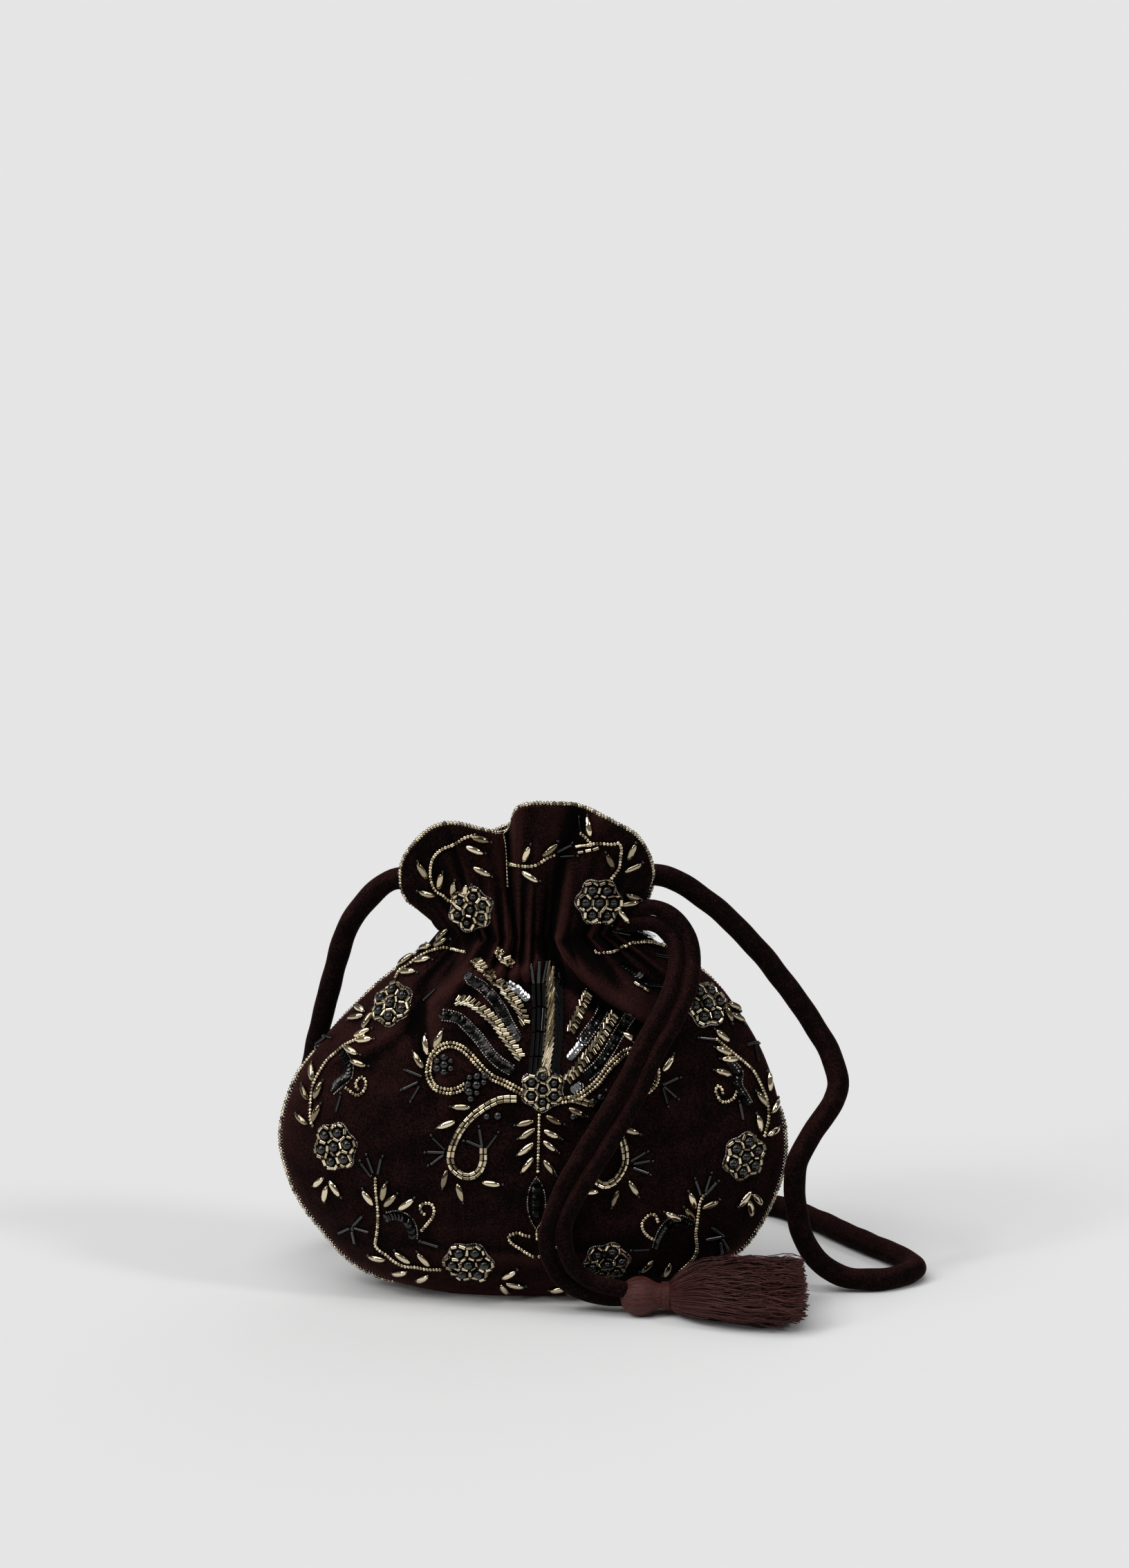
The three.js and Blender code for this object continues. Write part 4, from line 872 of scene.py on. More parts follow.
# The chart of the embroidery. Places are (across, up) on the drawing; long beads are pairs of places.
# A motif stands for the CAD node of its name, unless it names others under nodes.
CHART = {
    "vine_left_upper": {
        "seeds": [
            [(-69, 106), (-73, 104.5), (-77, 102.5), (-80, 100), (-84, 96.5), (-86.5, 93),
             (-88.5, 89.5), (-90, 86), (-90.7, 82), (-91, 77), (-91, 72), (-90, 69.5)],
            [(-76.5, 85), (-74.5, 83.5), (-72, 82), (-70, 83), (-68.5, 85.5), (-68.5, 88), (-70, 89.5),
             (-72, 88), (-72.5, 86), (-71.5, 84.5)],
        ],
        "rice": [
            ((-72, 104.2), (-66, 105)), ((-77, 101.5), (-71.5, 99)), ((-74, 96), (-69, 94.5)),
            ((-72.5, 106.0), (-67, 108.8)), ((-90.5, 95), (-90, 88)), ((-94.5, 86), (-92, 80.5)),
            ((-86.5, 87), (-89, 81)), ((-87, 78.5), (-90, 71)), ((-97, 74.5), (-92, 70)),
        ],
        "bugles": [((-87.5, 106.5), (-80.5, 105.5)), ((-89.5, 103), (-84, 105.5)),
                   ((-78.7, 83), (-81, 74.5))],
        "sequins": [[(-78, 99), (-76, 95), (-76.5, 90), (-80, 87), (-82, 84.5)]],
        "tiny": [[(-76.2, 99.5), (-73.8, 95), (-74.4, 89), (-78.5, 85.3), (-81.5, 82.6)]],
    },
    "vine_left_lower": {
        "seeds": [
            [(-64.5, 48), (-64.5, 45), (-64, 40), (-63.5, 35), (-63.5, 30), (-64, 25), (-64.5, 21),
             (-63, 19), (-60, 17), (-57, 14.5), (-53, 12.5), (-48, 12), (-44, 11.2), (-38, 11)],
            [(-45.5, 27), (-43, 30), (-41, 32.5), (-40.5, 35.5), (-41.5, 37.5), (-43.5, 38), (-46, 37),
             (-46, 35), (-44.5, 33.5)],
        ],
        "rice": [
            ((-69.5, 43.5), (-65.5, 37)), ((-60, 46), (-62, 39.5)), ((-61, 36.5), (-56, 41.5)),
            ((-54.5, 35.5), (-49.5, 39.5)), ((-67.5, 16.5), (-60, 15)), ((-56, 18), (-50.5, 14)),
            ((-47.5, 18), (-42, 12.5)), ((-58, 9), (-51, 10.5)), ((-48.5, 6), (-42, 9)),
        ],
        "bugles": [
            ((-66.5, 49), (-70, 54)), ((-65.5, 50), (-68, 57)), ((-64, 50), (-62, 56)),
            ((-74, 28.5), (-80, 25.5)), ((-74, 28.5), (-69, 33.5)), ((-74, 27.5), (-73, 20.5)),
            ((-73, 27.5), (-67.5, 26.5)), ((-45, 22), (-39.5, 20.3)),
        ],
        "sequins": [[(-60, 31.8), (-57, 32.5), (-54, 32), (-51.5, 30), (-50, 27), (-49.5, 24.5)]],
        "tiny": [[(-60, 34), (-56, 34.8), (-52, 33.6), (-49, 31), (-47.5, 27), (-47.5, 23.5)]],
    },
    "vine_shoulder_left": {
        "seeds": [[(-56, 130), (-54.5, 133), (-51, 135), (-48, 137.5), (-44, 140), (-40, 141.5),
                   (-36, 142.5), (-33, 142), (-30, 141), (-28, 140.5)]],
        "rice": [((-54, 132), (-48, 132.3)), ((-48, 136.5), (-42, 137.5)), ((-47, 141.5), (-41, 143)),
                 ((-40, 143), (-35, 145.5)), ((-57, 136), (-52, 138)), ((-38, 145.5), (-35, 149.5))],
        "bugles": [((-44, 121.5), (-39.5, 125.7))],
    },
    "vine_right_upper": {
        "seeds": [
            [(75, 105), (78, 102.5), (81, 100), (84, 97.5), (87, 95), (90, 92), (92, 88.5), (94, 84),
             (95.5, 80), (96, 75.5), (96, 71.5), (95, 68), (94.5, 65.5)],
            [(83, 83.5), (82, 81), (79.5, 79.5), (77, 79.5), (75.5, 81.5), (74.5, 84), (75.5, 86),
             (77, 85), (77.5, 83)],
        ],
        "rice": [
            ((75.5, 108), (79, 104.5)), ((75, 101.5), (80.5, 99)), ((77.5, 97), (83, 96.5)),
            ((75.5, 92), (80, 90.5)), ((96, 91), (96.5, 84)), ((92, 82.5), (94.5, 78.5)),
            ((97.5, 75), (100, 80)), ((91.5, 74), (93, 67)), ((96, 66), (100, 68.5)),
        ],
        "bugles": [((69, 105.5), (74, 105)), ((86.5, 103), (93, 103.3)), ((91, 102), (92, 96.5)),
                   ((84.5, 79), (86, 72))],
        "sequins": [[(81, 95), (84, 91), (83.5, 87), (86, 82), (88, 79)]],
        "tiny": [[(82.8, 96), (86, 91.5), (85.6, 87), (88, 82.5), (89.6, 79.5)]],
    },
    "vine_right_lower": {
        "seeds": [
            [(69.5, 41), (68, 38), (67.5, 34), (67, 30), (66.5, 25), (67, 20), (66, 16.5), (63.5, 13.5),
             (60, 10.5)],
            [(51, 30.5), (50, 33), (48, 33.5), (46, 32), (44.5, 29.5), (45, 27), (47, 24.5),
             (49.5, 23)],
        ],
        "rice": [
            ((63.5, 43), (66.5, 35.5)), ((62, 36), (66, 31)), ((69, 36), (75.5, 39)),
            ((54.5, 34), (60, 31.5)), ((44.5, 10.5), (48.5, 14.5)), ((53, 8.5), (56.5, 13.5)),
        ],
        "bugles": [
            ((66.5, 47.5), (68.5, 41)), ((70, 42), (73, 50)), ((70.5, 41.5), (75, 46)),
            ((71, 23), (76.5, 24.2)), ((73.5, 28), (77, 25)), ((77.5, 23.5), (79.5, 19.5)),
            ((77, 22.5), (77, 17)), ((40.5, 18.5), (48, 19)),
        ],
        "sequins": [[(65, 29), (61, 30.5), (57.5, 30), (54.5, 27.5), (52.5, 24), (51, 20)]],
        "tiny": [[(65, 31.3), (60.5, 32.8), (56, 31.8), (52.6, 28.6), (50.4, 24.5), (49, 20)]],
    },
    "fern": {
        "nodes": ["fern_stem"],
        "seeds": [[(2.5, 74), (2.4, 68), (2.2, 60), (2, 51)]],
        "rice": [
            ((-6.5, 70), (0, 71.5)), ((-5, 65), (0, 68)), ((-6, 58), (0, 62.5)),
            ((-4.5, 51), (0, 56.5)), ((5, 73.5), (12, 70.5)), ((4.5, 68), (11, 64.5)),
            ((4, 63.5), (10, 59)), ((4.5, 55.5), (9, 50)),
        ],
    },
    "vine_ruffle_left": {
        "seeds": [[(-24, 189), (-28, 188), (-32, 185.5), (-37, 183.5), (-40, 181), (-41.5, 178),
                   (-42, 173), (-41, 168.5), (-39.5, 166), (-36.5, 164.5), (-34.5, 162.5),
                   (-31, 162), (-28, 162.5)]],
        "rice": [
            ((-47, 178), (-43.5, 171.5)), ((-46.5, 166), (-40, 165)), ((-37, 173.5), (-38.5, 167.5)),
            ((-32, 170), (-32.5, 164)), ((-25.5, 168), (-27.5, 163.5)), ((-27, 184), (-21, 182)),
            ((-24, 176), (-18, 172.5)), ((-24.5, 188), (-19, 186.5)),
        ],
    },
    "ruffle_slit": {
        "nodes": [],
        "edge": [[(-12.5, 190), (-11.5, 186), (-11, 180), (-10.8, 174), (-10.5, 168)]],
    },
    "vine_ruffle_middle": {
        "nodes": [],
        "seeds": [[(-9, 177), (-5, 176.5), (0, 176.5), (3, 178), (5, 179.5), (8, 181)]],
        "rice": [((-4, 178), (-1, 185)), ((4, 181), (9, 185.5)), ((-4, 174), (2, 170.5))],
        "bugles": [((10, 182), (15, 185)), ((11, 180.5), (17, 180.5))],
    },
    "vine_ruffle_right": {
        "seeds": [[(20, 189.5), (22, 188), (24, 185.8), (28, 185.7), (33, 185.5), (35, 186),
                   (36, 183.5), (35.5, 180), (35, 176), (33, 173), (31, 170.5)]],
        "rice": [
            ((23, 195), (24, 190)), ((30, 181.5), (32.5, 175.5)), ((41.5, 185), (39, 180)),
            ((44, 177.5), (37.5, 174.5)), ((37, 161), (42.5, 161.5)), ((35.5, 158), (39, 153.5)),
            ((39, 165), (43, 163)),
        ],
        "tubes": [[(19, 184.5), (23.5, 185)], [(20, 182), (26, 183.5)]],
        "bugles": [((19, 195), (20, 189))],
    },
    "shoulder_right": {
        "nodes": [],
        "seeds": [[(25, 141), (29, 140.5), (32, 140.5), (35, 142), (39, 144), (44, 144.5), (49, 144.3),
                   (53, 143)]],
        "bugles": [((34, 151.5), (39, 150.5)), ((34, 149), (39, 147.5)), ((50, 139.5), (56, 138)),
                   ((47, 127), (53, 126.8))],
        "sequins": [[(37, 135), (40, 133), (44, 131)]],
        "bright": [[(46, 150), (50, 149), (54, 146.5)]],
        "tubes": [[(42, 127.5), (46, 125)]],
    },
    "heart_curl": {
        "nodes": [],
        "seeds": [
            [(-1.5, 24.5), (-4, 25), (-6, 26), (-8, 25.5), (-10, 24.6), (-9.5, 22.5), (-7, 20.5),
             (-4.5, 19), (-2.5, 17.5), (0, 16)],
            [(4.5, 24.5), (7, 25), (9, 26), (11, 25.5), (13, 24.6), (12.5, 22.5), (10, 20.5), (7.5, 19),
             (5.5, 17.5), (2.5, 16)],
            [(1.6, 26.5), (1.7, 23.5)],
        ],
    },
    "ring_scroll_left": {
        "tubes_double": [[(-8, 80.6), (-13, 80.4), (-17.8, 78.4), (-25.5, 73), (-30.6, 66.4),
                          (-33.3, 60), (-33.8, 55), (-31.8, 51.2), (-27, 48.6), (-22.8, 50.4),
                          (-20.6, 54.5), (-20.4, 59.5)]],
        "rice": [((-38.5, 69), (-32.5, 71.5)), ((-33, 77.5), (-26, 77.3)), ((-37, 44.5), (-35.5, 51.5)),
                 ((-31, 46), (-29, 39)), ((-20.5, 46.5), (-14, 45.7))],
        "bugles": [((-35.5, 59), (-41.5, 65.5)), ((-36.5, 58.7), (-43, 58.7)),
                   ((-36.5, 57.5), (-42, 54)), ((-21, 61), (-27, 63)), ((-21, 61.5), (-22, 68)),
                   ((-19, 60.5), (-15, 66))],
        "round": [(-19, 73.5), (-14.5, 73.8)],
    },
    "ring_scroll_right": {
        "tubes_double": [
            [(16, 80.6), (22, 79), (26.5, 76.8)],
            [(34.6, 67.8), (36.5, 63.8), (37.8, 56), (35.7, 49.8), (30.1, 45), (26, 47), (24, 51.5)],
        ],
        "rice": [((20, 43), (26, 42.5)), ((32.5, 37), (34.5, 43)), ((39, 47.5), (43, 41)),
                 ((36.5, 69), (43, 66.5)), ((14, 77), (22, 73.5))],
        "bugles": [((40, 55), (46, 58.5)), ((41, 54), (48, 55)), ((41, 52.5), (47, 50)),
                   ((25, 56.5), (31, 58))],
    },
    "seed_scroll_left": {
        "seeds_double": [[(-5, 83.6), (-8, 85.2), (-12, 87.3), (-16.5, 89.2), (-19.8, 91.8),
                          (-23, 95.2), (-26, 98.6), (-29, 101.2), (-32.5, 102.8), (-36.2, 102.6),
                          (-39.2, 100.6), (-41.3, 97.3), (-42.6, 93.5), (-42.6, 90), (-41, 86.6),
                          (-38.3, 84.6), (-34.6, 83.8), (-31, 84.4), (-28, 86)]],
        "rice": [((-43.5, 105.5), (-42.5, 100)), ((-37.5, 108), (-40, 102.5)),
                 ((-48.5, 99), (-45.5, 94))],
        "bugles": [((-51.5, 92), (-46, 90)), ((-53.5, 84.5), (-47, 87.5)), ((-50, 80), (-46.5, 86.5))],
        "round": [(-36.4, 97.6), (-33.7, 96.2), (-33.8, 93.2), (-36.5, 91.8), (-39.1, 93.2),
                  (-39.1, 96.2), (-36.4, 94.7), (-26.2, 89.6), (-23.2, 90), (-26.8, 86.8),
                  (-23.3, 86.4), (-20.4, 87.4), (-20, 90.2), (-26.3, 83.7), (-23.2, 83.2), (-25.6, 80.8)],
    },
    "seed_scroll_right": {
        "seeds_double": [[(12, 80), (17.5, 81), (22.5, 84), (26.8, 88), (30, 92.4), (34, 96.6),
                          (38.4, 100), (44.7, 100.4), (49, 96.4), (50.6, 91), (49.8, 87),
                          (46.8, 84), (42, 82.2)]],
        "rice": [((38, 107), (42.5, 104)), ((53.5, 92), (57, 98))],
        "bugles": [((53, 86.5), (59.5, 89)), ((53.5, 86), (59, 81)), ((53.5, 85), (55, 79))],
        "round": [(16.5, 73.5), (24.5, 79.8), (27.5, 81.5), (30, 84.2)],
    },
    "palmette_left": {
        "nodes": ["band_left_1", "band_left_2", "band_left_3", "band_left_4"],
        "sequin_bands": [
            [(-37, 115), (-31, 114), (-27, 110.5), (-22, 105), (-18, 99.5), (-14, 95.5), (-9, 92.5)],
            [(-27, 130.5), (-22, 127.5), (-17, 122.5), (-13, 117), (-10, 111), (-6.5, 105)],
        ],
        "slanted": [
            [(-31, 121), (-27, 120.5), (-23, 118.5), (-19, 115), (-15, 111), (-12, 106.5), (-8, 101.5),
             (-5.5, 98)],
            [(-24, 137), (-20, 133), (-16, 129.5), (-12, 125), (-8, 120.5), (-5, 117), (-3.5, 112)],
            [(-15, 142), (-12.5, 138.5), (-8.5, 135)],
        ],
        "bright": [[(-9.5, 127.5), (-6.5, 125.5), (-2.5, 122)]],
    },
    "palmette_right": {
        "nodes": ["band_right_1", "band_right_2", "band_right_3"],
        "sequin_bands": [
            [(40, 115), (37.5, 111), (35, 107), (31, 100), (27, 94.5), (22, 90)],
            [(28.5, 117), (26.5, 113), (24, 109.5), (20, 104)],
        ],
        "slanted": [
            [(33, 115), (30, 110), (27, 105), (24, 100.5), (20.5, 96.5), (17, 92), (14, 89)],
            [(22.5, 124.5), (20, 119), (18, 114), (15.5, 109)],
        ],
        "bright": [[(20.5, 104.5), (18, 101), (15, 97.5)], [(19, 86), (16.5, 84.2)]],
    },
    "bead_column": {
        "columns": [[(-0.1, 132), (0.3, 120), (0.1, 108), (-1.2, 93)],
                    [(1.9, 133), (2.2, 120), (2.0, 108), (0.7, 93)],
                    [(3.9, 133), (4.1, 120), (3.8, 108), (2.6, 93)]],
        "slants": [[(7.0, 134), (7.0, 120), (6.6, 107), (5.2, 92)]],
        "dark_slants": [[(10.3, 131), (10.5, 119), (10.2, 106), (9.0, 92)]],
    },
    "spindle": {
        "tiny": [
            [(1.5, 48.5), (-0.6, 45.5), (-1.8, 42), (-2.2, 38), (-1.8, 34), (-0.4, 30), (1.5, 27)],
            [(1.5, 48.5), (3.6, 45.5), (4.8, 42), (5.2, 38), (4.8, 34), (3.4, 30), (1.5, 27)],
        ],
        "sequins": [[(1.5, 46), (1.5, 42.5)], [(1.5, 39.5), (1.5, 33.5)]],
    },
}

# Each rosette's centre, the turn of its ring and the ring's radius
ROSETTES = {
    "rosette_left": ((-81, 61), 0.25, 6.2), "rosette_lower_left": ((-26.5, 13.5), 0.1, 6.6),
    "rosette_upper_left": ((-58, 119.5), 0.4, 5.8), "rosette_centre": ((4, 84.5), 0.5, 5.2),
    "rosette_upper_right": ((71, 119.5), 0.2, 5.9), "rosette_right": ((86.5, 57), 0.3, 6.2),
    "rosette_lower_right": ((30, 13.5), 0.15, 6.1), "rosette_ruffle_left": ((-25.5, 158.5), 0.35, 5.4),
    "rosette_ruffle_right": ((27, 161.5), 0.0, 5.9),
}
# The rice beads that point away from each rosette
ROSETTE_RICE = {
    "rosette_left": [((-90, 45), (-85, 48.5)), ((-85.5, 37.5), (-84, 46.5)), ((-83, 47.5), (-79, 41))],
    "rosette_lower_left": [((-13, 7.5), (-7, 10.5)), ((-11, 5.5), (-4, 4.3)), ((-14, 5.5), (-9.5, 1))],
    "rosette_upper_left": [((-74.5, 119), (-67, 115.5)), ((-75.5, 113), (-69, 114.5)),
                           ((-69, 110), (-66, 115))],
    "rosette_upper_right": [((79, 119.5), (85, 117)), ((78, 119), (81, 112.5)),
                            ((81, 115.5), (86, 112))],
    "rosette_right": [((84.5, 37), (88.5, 43)), ((89, 31.5), (88, 41)), ((89.5, 42.5), (93.5, 37))],
    "rosette_lower_right": [((7, 2.5), (14, 4)), ((10, 9), (14, 5.5)), ((14.5, 1.5), (17, 3.5))],
}


# Strings of the chart: shape, finish, pitch and how far each string lies beside its route
STRINGS = {
    "seeds": ("seed", GOLD, SEED_PITCH, (0,)),
    "edge": ("edge", EDGE_GOLD, EDGE_PITCH, (0,)),
    "tiny": ("tiny", GUNMETAL, TINY_PITCH, (0,)),
    "tubes": ("tube", GOLD, TUBE_PITCH, (0,)),
    "tubes_double": ("tube", GOLD, TUBE_PITCH, (ROW_APART, -ROW_APART)),
    "seeds_double": ("seed", GOLD, SEED_PITCH, (ROW_APART, -ROW_APART)),
}
# Rows of beads laid aslant: shape, finish, pitch, unevenness, and slant and place of each row
SLANTED_ROWS = {
    "slanted": ("stair", GOLD, STAIR_PITCH, 0.09, ((2.4, 1.15), (0.5, -1.0))),
    "slants": ("twist", GOLD, TWIST_PITCH, 0.05, ((-0.28, 0.8), (-0.28, -0.8))),
    "dark_slants": ("twist", JET, TWIST_PITCH, 0.05, ((0.28, 0.8), (0.28, -0.8))),
}


def motif_stems(chart):
    """The places that a motif's rice and bugle beads grow from."""
    stems = [place for route in chart.get("seeds", [])[:1] for place in smooth_line(route, 6)]
    for kind in ("seeds_double", "tubes_double"):
        stems += [place for route in chart.get(kind, []) for place in smooth_line(route, 6)]
    return stems or [pair[0] for pair in chart.get("bugles", [])]


def lay_sequins(work, chart):
    for route in chart.get("sequins", []):
        sequin_row(work, DARK_SEQUIN, route, SEQUIN_PITCH)
    for route in chart.get("bright", []):
        sequin_row(work, SILVER_SEQUIN, route, SEQUIN_PITCH)
    for route in chart.get("sequin_bands", []):
        sequin_row(work, DARK_SEQUIN, route, CLOSE_SEQUIN_PITCH)
        string_of(work, "tiny", GUNMETAL, route, TINY_PITCH, BAND_EDGE)
        string_of(work, "tiny", GUNMETAL, route, TINY_PITCH, -BAND_EDGE)


def lay_motif(name, chart):
    """All beads of one motif of the chart, as one piece that stands for its nodes."""
    work = Beadwork()
    stems = motif_stems(chart)
    for kind, (shape, finish, pitch, offsets) in STRINGS.items():
        for route in chart.get(kind, []):
            for offset in offsets:
                string_of(work, shape, finish, route, pitch, offset)
    lay_sequins(work, chart)
    for route in chart.get("columns", []):
        string_of(work, "column", JET, route, COLUMN_PITCH, jitter=0.012)
    for kind, (shape, finish, pitch, jitter, rows) in SLANTED_ROWS.items():
        for route in chart.get(kind, []):
            for slant, offset in rows:
                slanted_row(work, finish, route, pitch, slant, shape, offset, jitter)
    for pair in chart.get("rice", []):
        long_bead(work, "rice", GOLD, pair, stems)
    for pair in chart.get("bugles", []):
        long_bead(work, "bugle", JET, pair, stems)
    for place in chart.get("round", []):
        point, normal = on_cloth(*place)
        work.lay("small_round", JET, point, normal, Vector((1, 0, 0)), jitter=0.3)
    return work.piece(name + "_beads", chart.get("nodes", [name]))


for motif, chart in CHART.items():
    lay_motif(motif, chart)

for name, (centre, turn, ring) in ROSETTES.items():
    work = Beadwork()
    rosette(work, centre, turn, ring, faces_view="ruffle" in name)
    for pair in ROSETTE_RICE.get(name, []):
        long_bead(work, "rice", GOLD, pair, [centre])
    work.piece(name + "_beads", [name])


# The strings of beads along the seam and along the two free edges

def seam_side(sign, edge, rolls):
    """One side of the seam from the floor up. Above its belly the edge rolls the seam to the back."""
    shares = np.linspace(0, 0.95, 120)
    heights = np.maximum(shares * NECK_HEIGHT, SEAM_RISE)
    flat = np.stack([sign * value_at(SECTIONS, edge, shares) * HALF_WIDTH, 0 * shares, heights], axis=1)
    rolled = pouch_points(1, np.full(len(shares), sign * 0.965), heights, 0) + (0, TRIM_OFF, 0)
    return flat + (rolled - flat) * climb(shares, *rolls)[:, None]


def seam_line():
    left = seam_side(-1, LEFT, (0.60, 0.72))
    right = seam_side(1, RIGHT, (0.46, 0.60))
    middle = np.array([(share * HALF_WIDTH, 0, SEAM_RISE) for share in (-0.25, 0, 0.25)])
    outline = even_steps(np.vstack([left[::-1], middle, right]), 2.0)
    ahead = unit(np.gradient(outline, axis=0))
    x = outline[:, 0] + ahead[:, 2] * TRIM_OFF
    z = np.maximum(outline[:, 2] - ahead[:, 0] * TRIM_OFF, 1.2)
    return np.stack([x, outline[:, 1], z], axis=1)


def rim_line(grids, facing):
    outside, inside = grids
    edge = (outside[-1] + inside[-1]) / 2
    run = np.gradient(edge, axis=0)
    through = inside[-1] - outside[-1]
    square = unit(np.cross(run, through)) * -facing
    line = edge + square * RIM_OFF
    return line[8:-8]


def edge_beads(name, line, node):
    work = Beadwork()
    points = even_steps(smooth_line(even_steps(line, 4)), EDGE_PITCH)
    ahead = unit(np.gradient(points, axis=0))
    normals = unit(np.cross(ahead, np.array([0.0, 1.0, 0.03])))
    work.lay("edge", EDGE_GOLD, points, normals, ahead, jitter=0.12)
    return work.piece(name, [node])


edge_beads("seam_beads", seam_line(), "seam_trim")
edge_beads("ruffle_front_beads", rim_line(front_grids, -1), "ruffle_trim_front")
edge_beads("ruffle_back_beads", rim_line(back_grids, 1), "ruffle_trim_back")

# The strap and the two drawcords, in metres, along the same routes as in the CAD. The drawcords start
# a little further inside the ruffle and end inside the tassel's head, so that no cut end shows.
STRAP_ROUTE = [
    (-0.029, 0.0042, 0.1575), (-0.034, 0.0045, 0.1642), (-0.041, 0.005, 0.1698),
    (-0.0543, 0.0065, 0.1719), (-0.0603, 0.0073, 0.1694), (-0.0684, 0.009, 0.1614),
    (-0.0755, 0.011, 0.1507), (-0.0834, 0.0165, 0.1242), (-0.0905, 0.024, 0.0943),
    (-0.097, 0.039, 0.0565), (-0.092, 0.053, 0.03), (-0.074, 0.07, 0.0075), (-0.058, 0.081, 0.0048),
    (-0.01, 0.101, 0.0048), (0.07, 0.112, 0.0048), (0.103, 0.1017, 0.0048), (0.1395, 0.0487, 0.0048),
    (0.1552, 0.0231, 0.0048), (0.1586, 0.0107, 0.0048), (0.1506, 0.0002, 0.0048),
    (0.1403, -0.0044, 0.0048), (0.1298, -0.0052, 0.0058), (0.1211, -0.006, 0.01),
    (0.115, -0.0065, 0.0161), (0.1109, -0.0072, 0.0239), (0.1076, -0.0086, 0.038),
    (0.1075, -0.0088, 0.054), (0.1099, -0.0084, 0.061), (0.1186, -0.0055, 0.0744),
    (0.1232, -0.003, 0.0812), (0.1249, -0.0005, 0.0875), (0.1215, 0.0045, 0.099),
    (0.1097, 0.009, 0.1179), (0.0896, 0.0095, 0.1439), (0.0716, 0.0085, 0.1616),
    (0.0576, 0.007, 0.1711), (0.0516, 0.006, 0.1732), (0.0461, 0.0053, 0.1732), (0.037, 0.0046, 0.165),
    (0.032, 0.0042, 0.1575),
]
DRAWCORD_A = [
    (0.0375, -0.0055, 0.1558), (0.0423, -0.0076, 0.1564), (0.047, -0.0088, 0.1568),
    (0.0515, -0.0098, 0.1556), (0.0548, -0.0112, 0.1527), (0.0574, -0.013, 0.1493),
    (0.0581, -0.016, 0.1451), (0.0577, -0.02, 0.1399), (0.0561, -0.024, 0.1344), (0.0531, -0.0282, 0.1279),
    (0.0491, -0.032, 0.1213), (0.0445, -0.0356, 0.1137), (0.037, -0.0392, 0.0985),
    (0.0295, -0.0416, 0.086), (0.0218, -0.0426, 0.073), (0.0146, -0.0428, 0.0605),
    (0.009, -0.0424, 0.0475), (0.0062, -0.0412, 0.038), (0.006, -0.039, 0.0285),
    (0.009, -0.0364, 0.019), (0.0145, -0.034, 0.012), (0.022, -0.033, 0.008), (0.029, -0.0336, 0.0066),
    (0.0349, -0.0348, 0.0068), (0.0395, -0.0358, 0.0076),
]
DRAWCORD_B = [
    (0.0415, -0.0065, 0.1612), (0.0469, -0.0084, 0.1632), (0.0504, -0.0088, 0.1629),
    (0.0546, -0.0096, 0.1613), (0.0594, -0.0108, 0.1573), (0.0626, -0.0124, 0.1526),
    (0.0642, -0.0144, 0.1476), (0.0647, -0.017, 0.143), (0.0641, -0.0205, 0.1376),
    (0.0626, -0.0242, 0.1318),
    (0.0594, -0.028, 0.1252), (0.0552, -0.0318, 0.1178), (0.0502, -0.0354, 0.11),
    (0.0444, -0.0384, 0.097), (0.0376, -0.0408, 0.0845), (0.0302, -0.0428, 0.0725),
    (0.023, -0.0436, 0.0605), (0.017, -0.0436, 0.0505), (0.0132, -0.0428, 0.041),
    (0.0128, -0.0412, 0.032), (0.015, -0.0398, 0.024), (0.0195, -0.0388, 0.018),
    (0.025, -0.0388, 0.0146), (0.03, -0.0392, 0.013), (0.035, -0.0389, 0.0120),
    (0.0395, -0.0378, 0.0102),
]


# The velvet tubes: their radii, the depth of their creases as a share of that, how finely they are
# divided, and the angle at which they are sewn
STRAP_RADIUS = 4.6
DRAWCORD_RADIUS = 3.45
CREASE = 0.04
TUBE_STEP = 1.6
TUBE_SIDES = 28
SEWN_AT = 4.4


def velvet_tube(name, route, radius, node):
    """A stuffed velvet tube: round, with shallow creases across it and a sewn seam along it."""
    line = even_steps(smooth_line(np.array(route) / MM), TUBE_STEP)
    sides = TUBE_SIDES
    ahead = unit(np.gradient(line, axis=0))
    aside = np.array([0.0, 1.0, 0.0])
    points = []
    for i, (point, way) in enumerate(zip(line, ahead)):
        above = unit(np.cross(way, aside))
        aside = unit(np.cross(above, way))
        for side in range(sides):
            angle = 2 * math.pi * side / sides
            across = math.sin(i * 0.55 + 1.4 * math.sin(angle))
            puff = CREASE * (across * math.sin(i * 0.13 + angle) - 0.6)
            seam = -0.05 * radius * math.exp(-((angle - SEWN_AT) / 0.16)**2)
            reach = radius * (1 + puff) + seam
            points.append(point + reach * (math.cos(angle) * aside + math.sin(angle) * above))
    rings = len(line)
    faces = [(r * sides + s, r * sides + (s + 1) % sides, (r + 1) * sides + (s + 1) % sides,
              (r + 1) * sides + s) for r in range(rings - 1) for s in range(sides)]
    faces.append(tuple(range(sides))[::-1])
    faces.append(tuple((rings - 1) * sides + s for s in range(sides)))
    piece = new_piece(name, points, faces, [STRAP_VELVET], nodes=[node])
    return piece, line * MM


strap, strap_line = velvet_tube("strap_cord", STRAP_ROUTE, STRAP_RADIUS, "shoulder_strap")
cord_a, line_a = velvet_tube("drawcord_near", DRAWCORD_A, DRAWCORD_RADIUS, "drawcord_a")
cord_b, line_b = velvet_tube("drawcord_far", DRAWCORD_B, DRAWCORD_RADIUS, "drawcord_b")

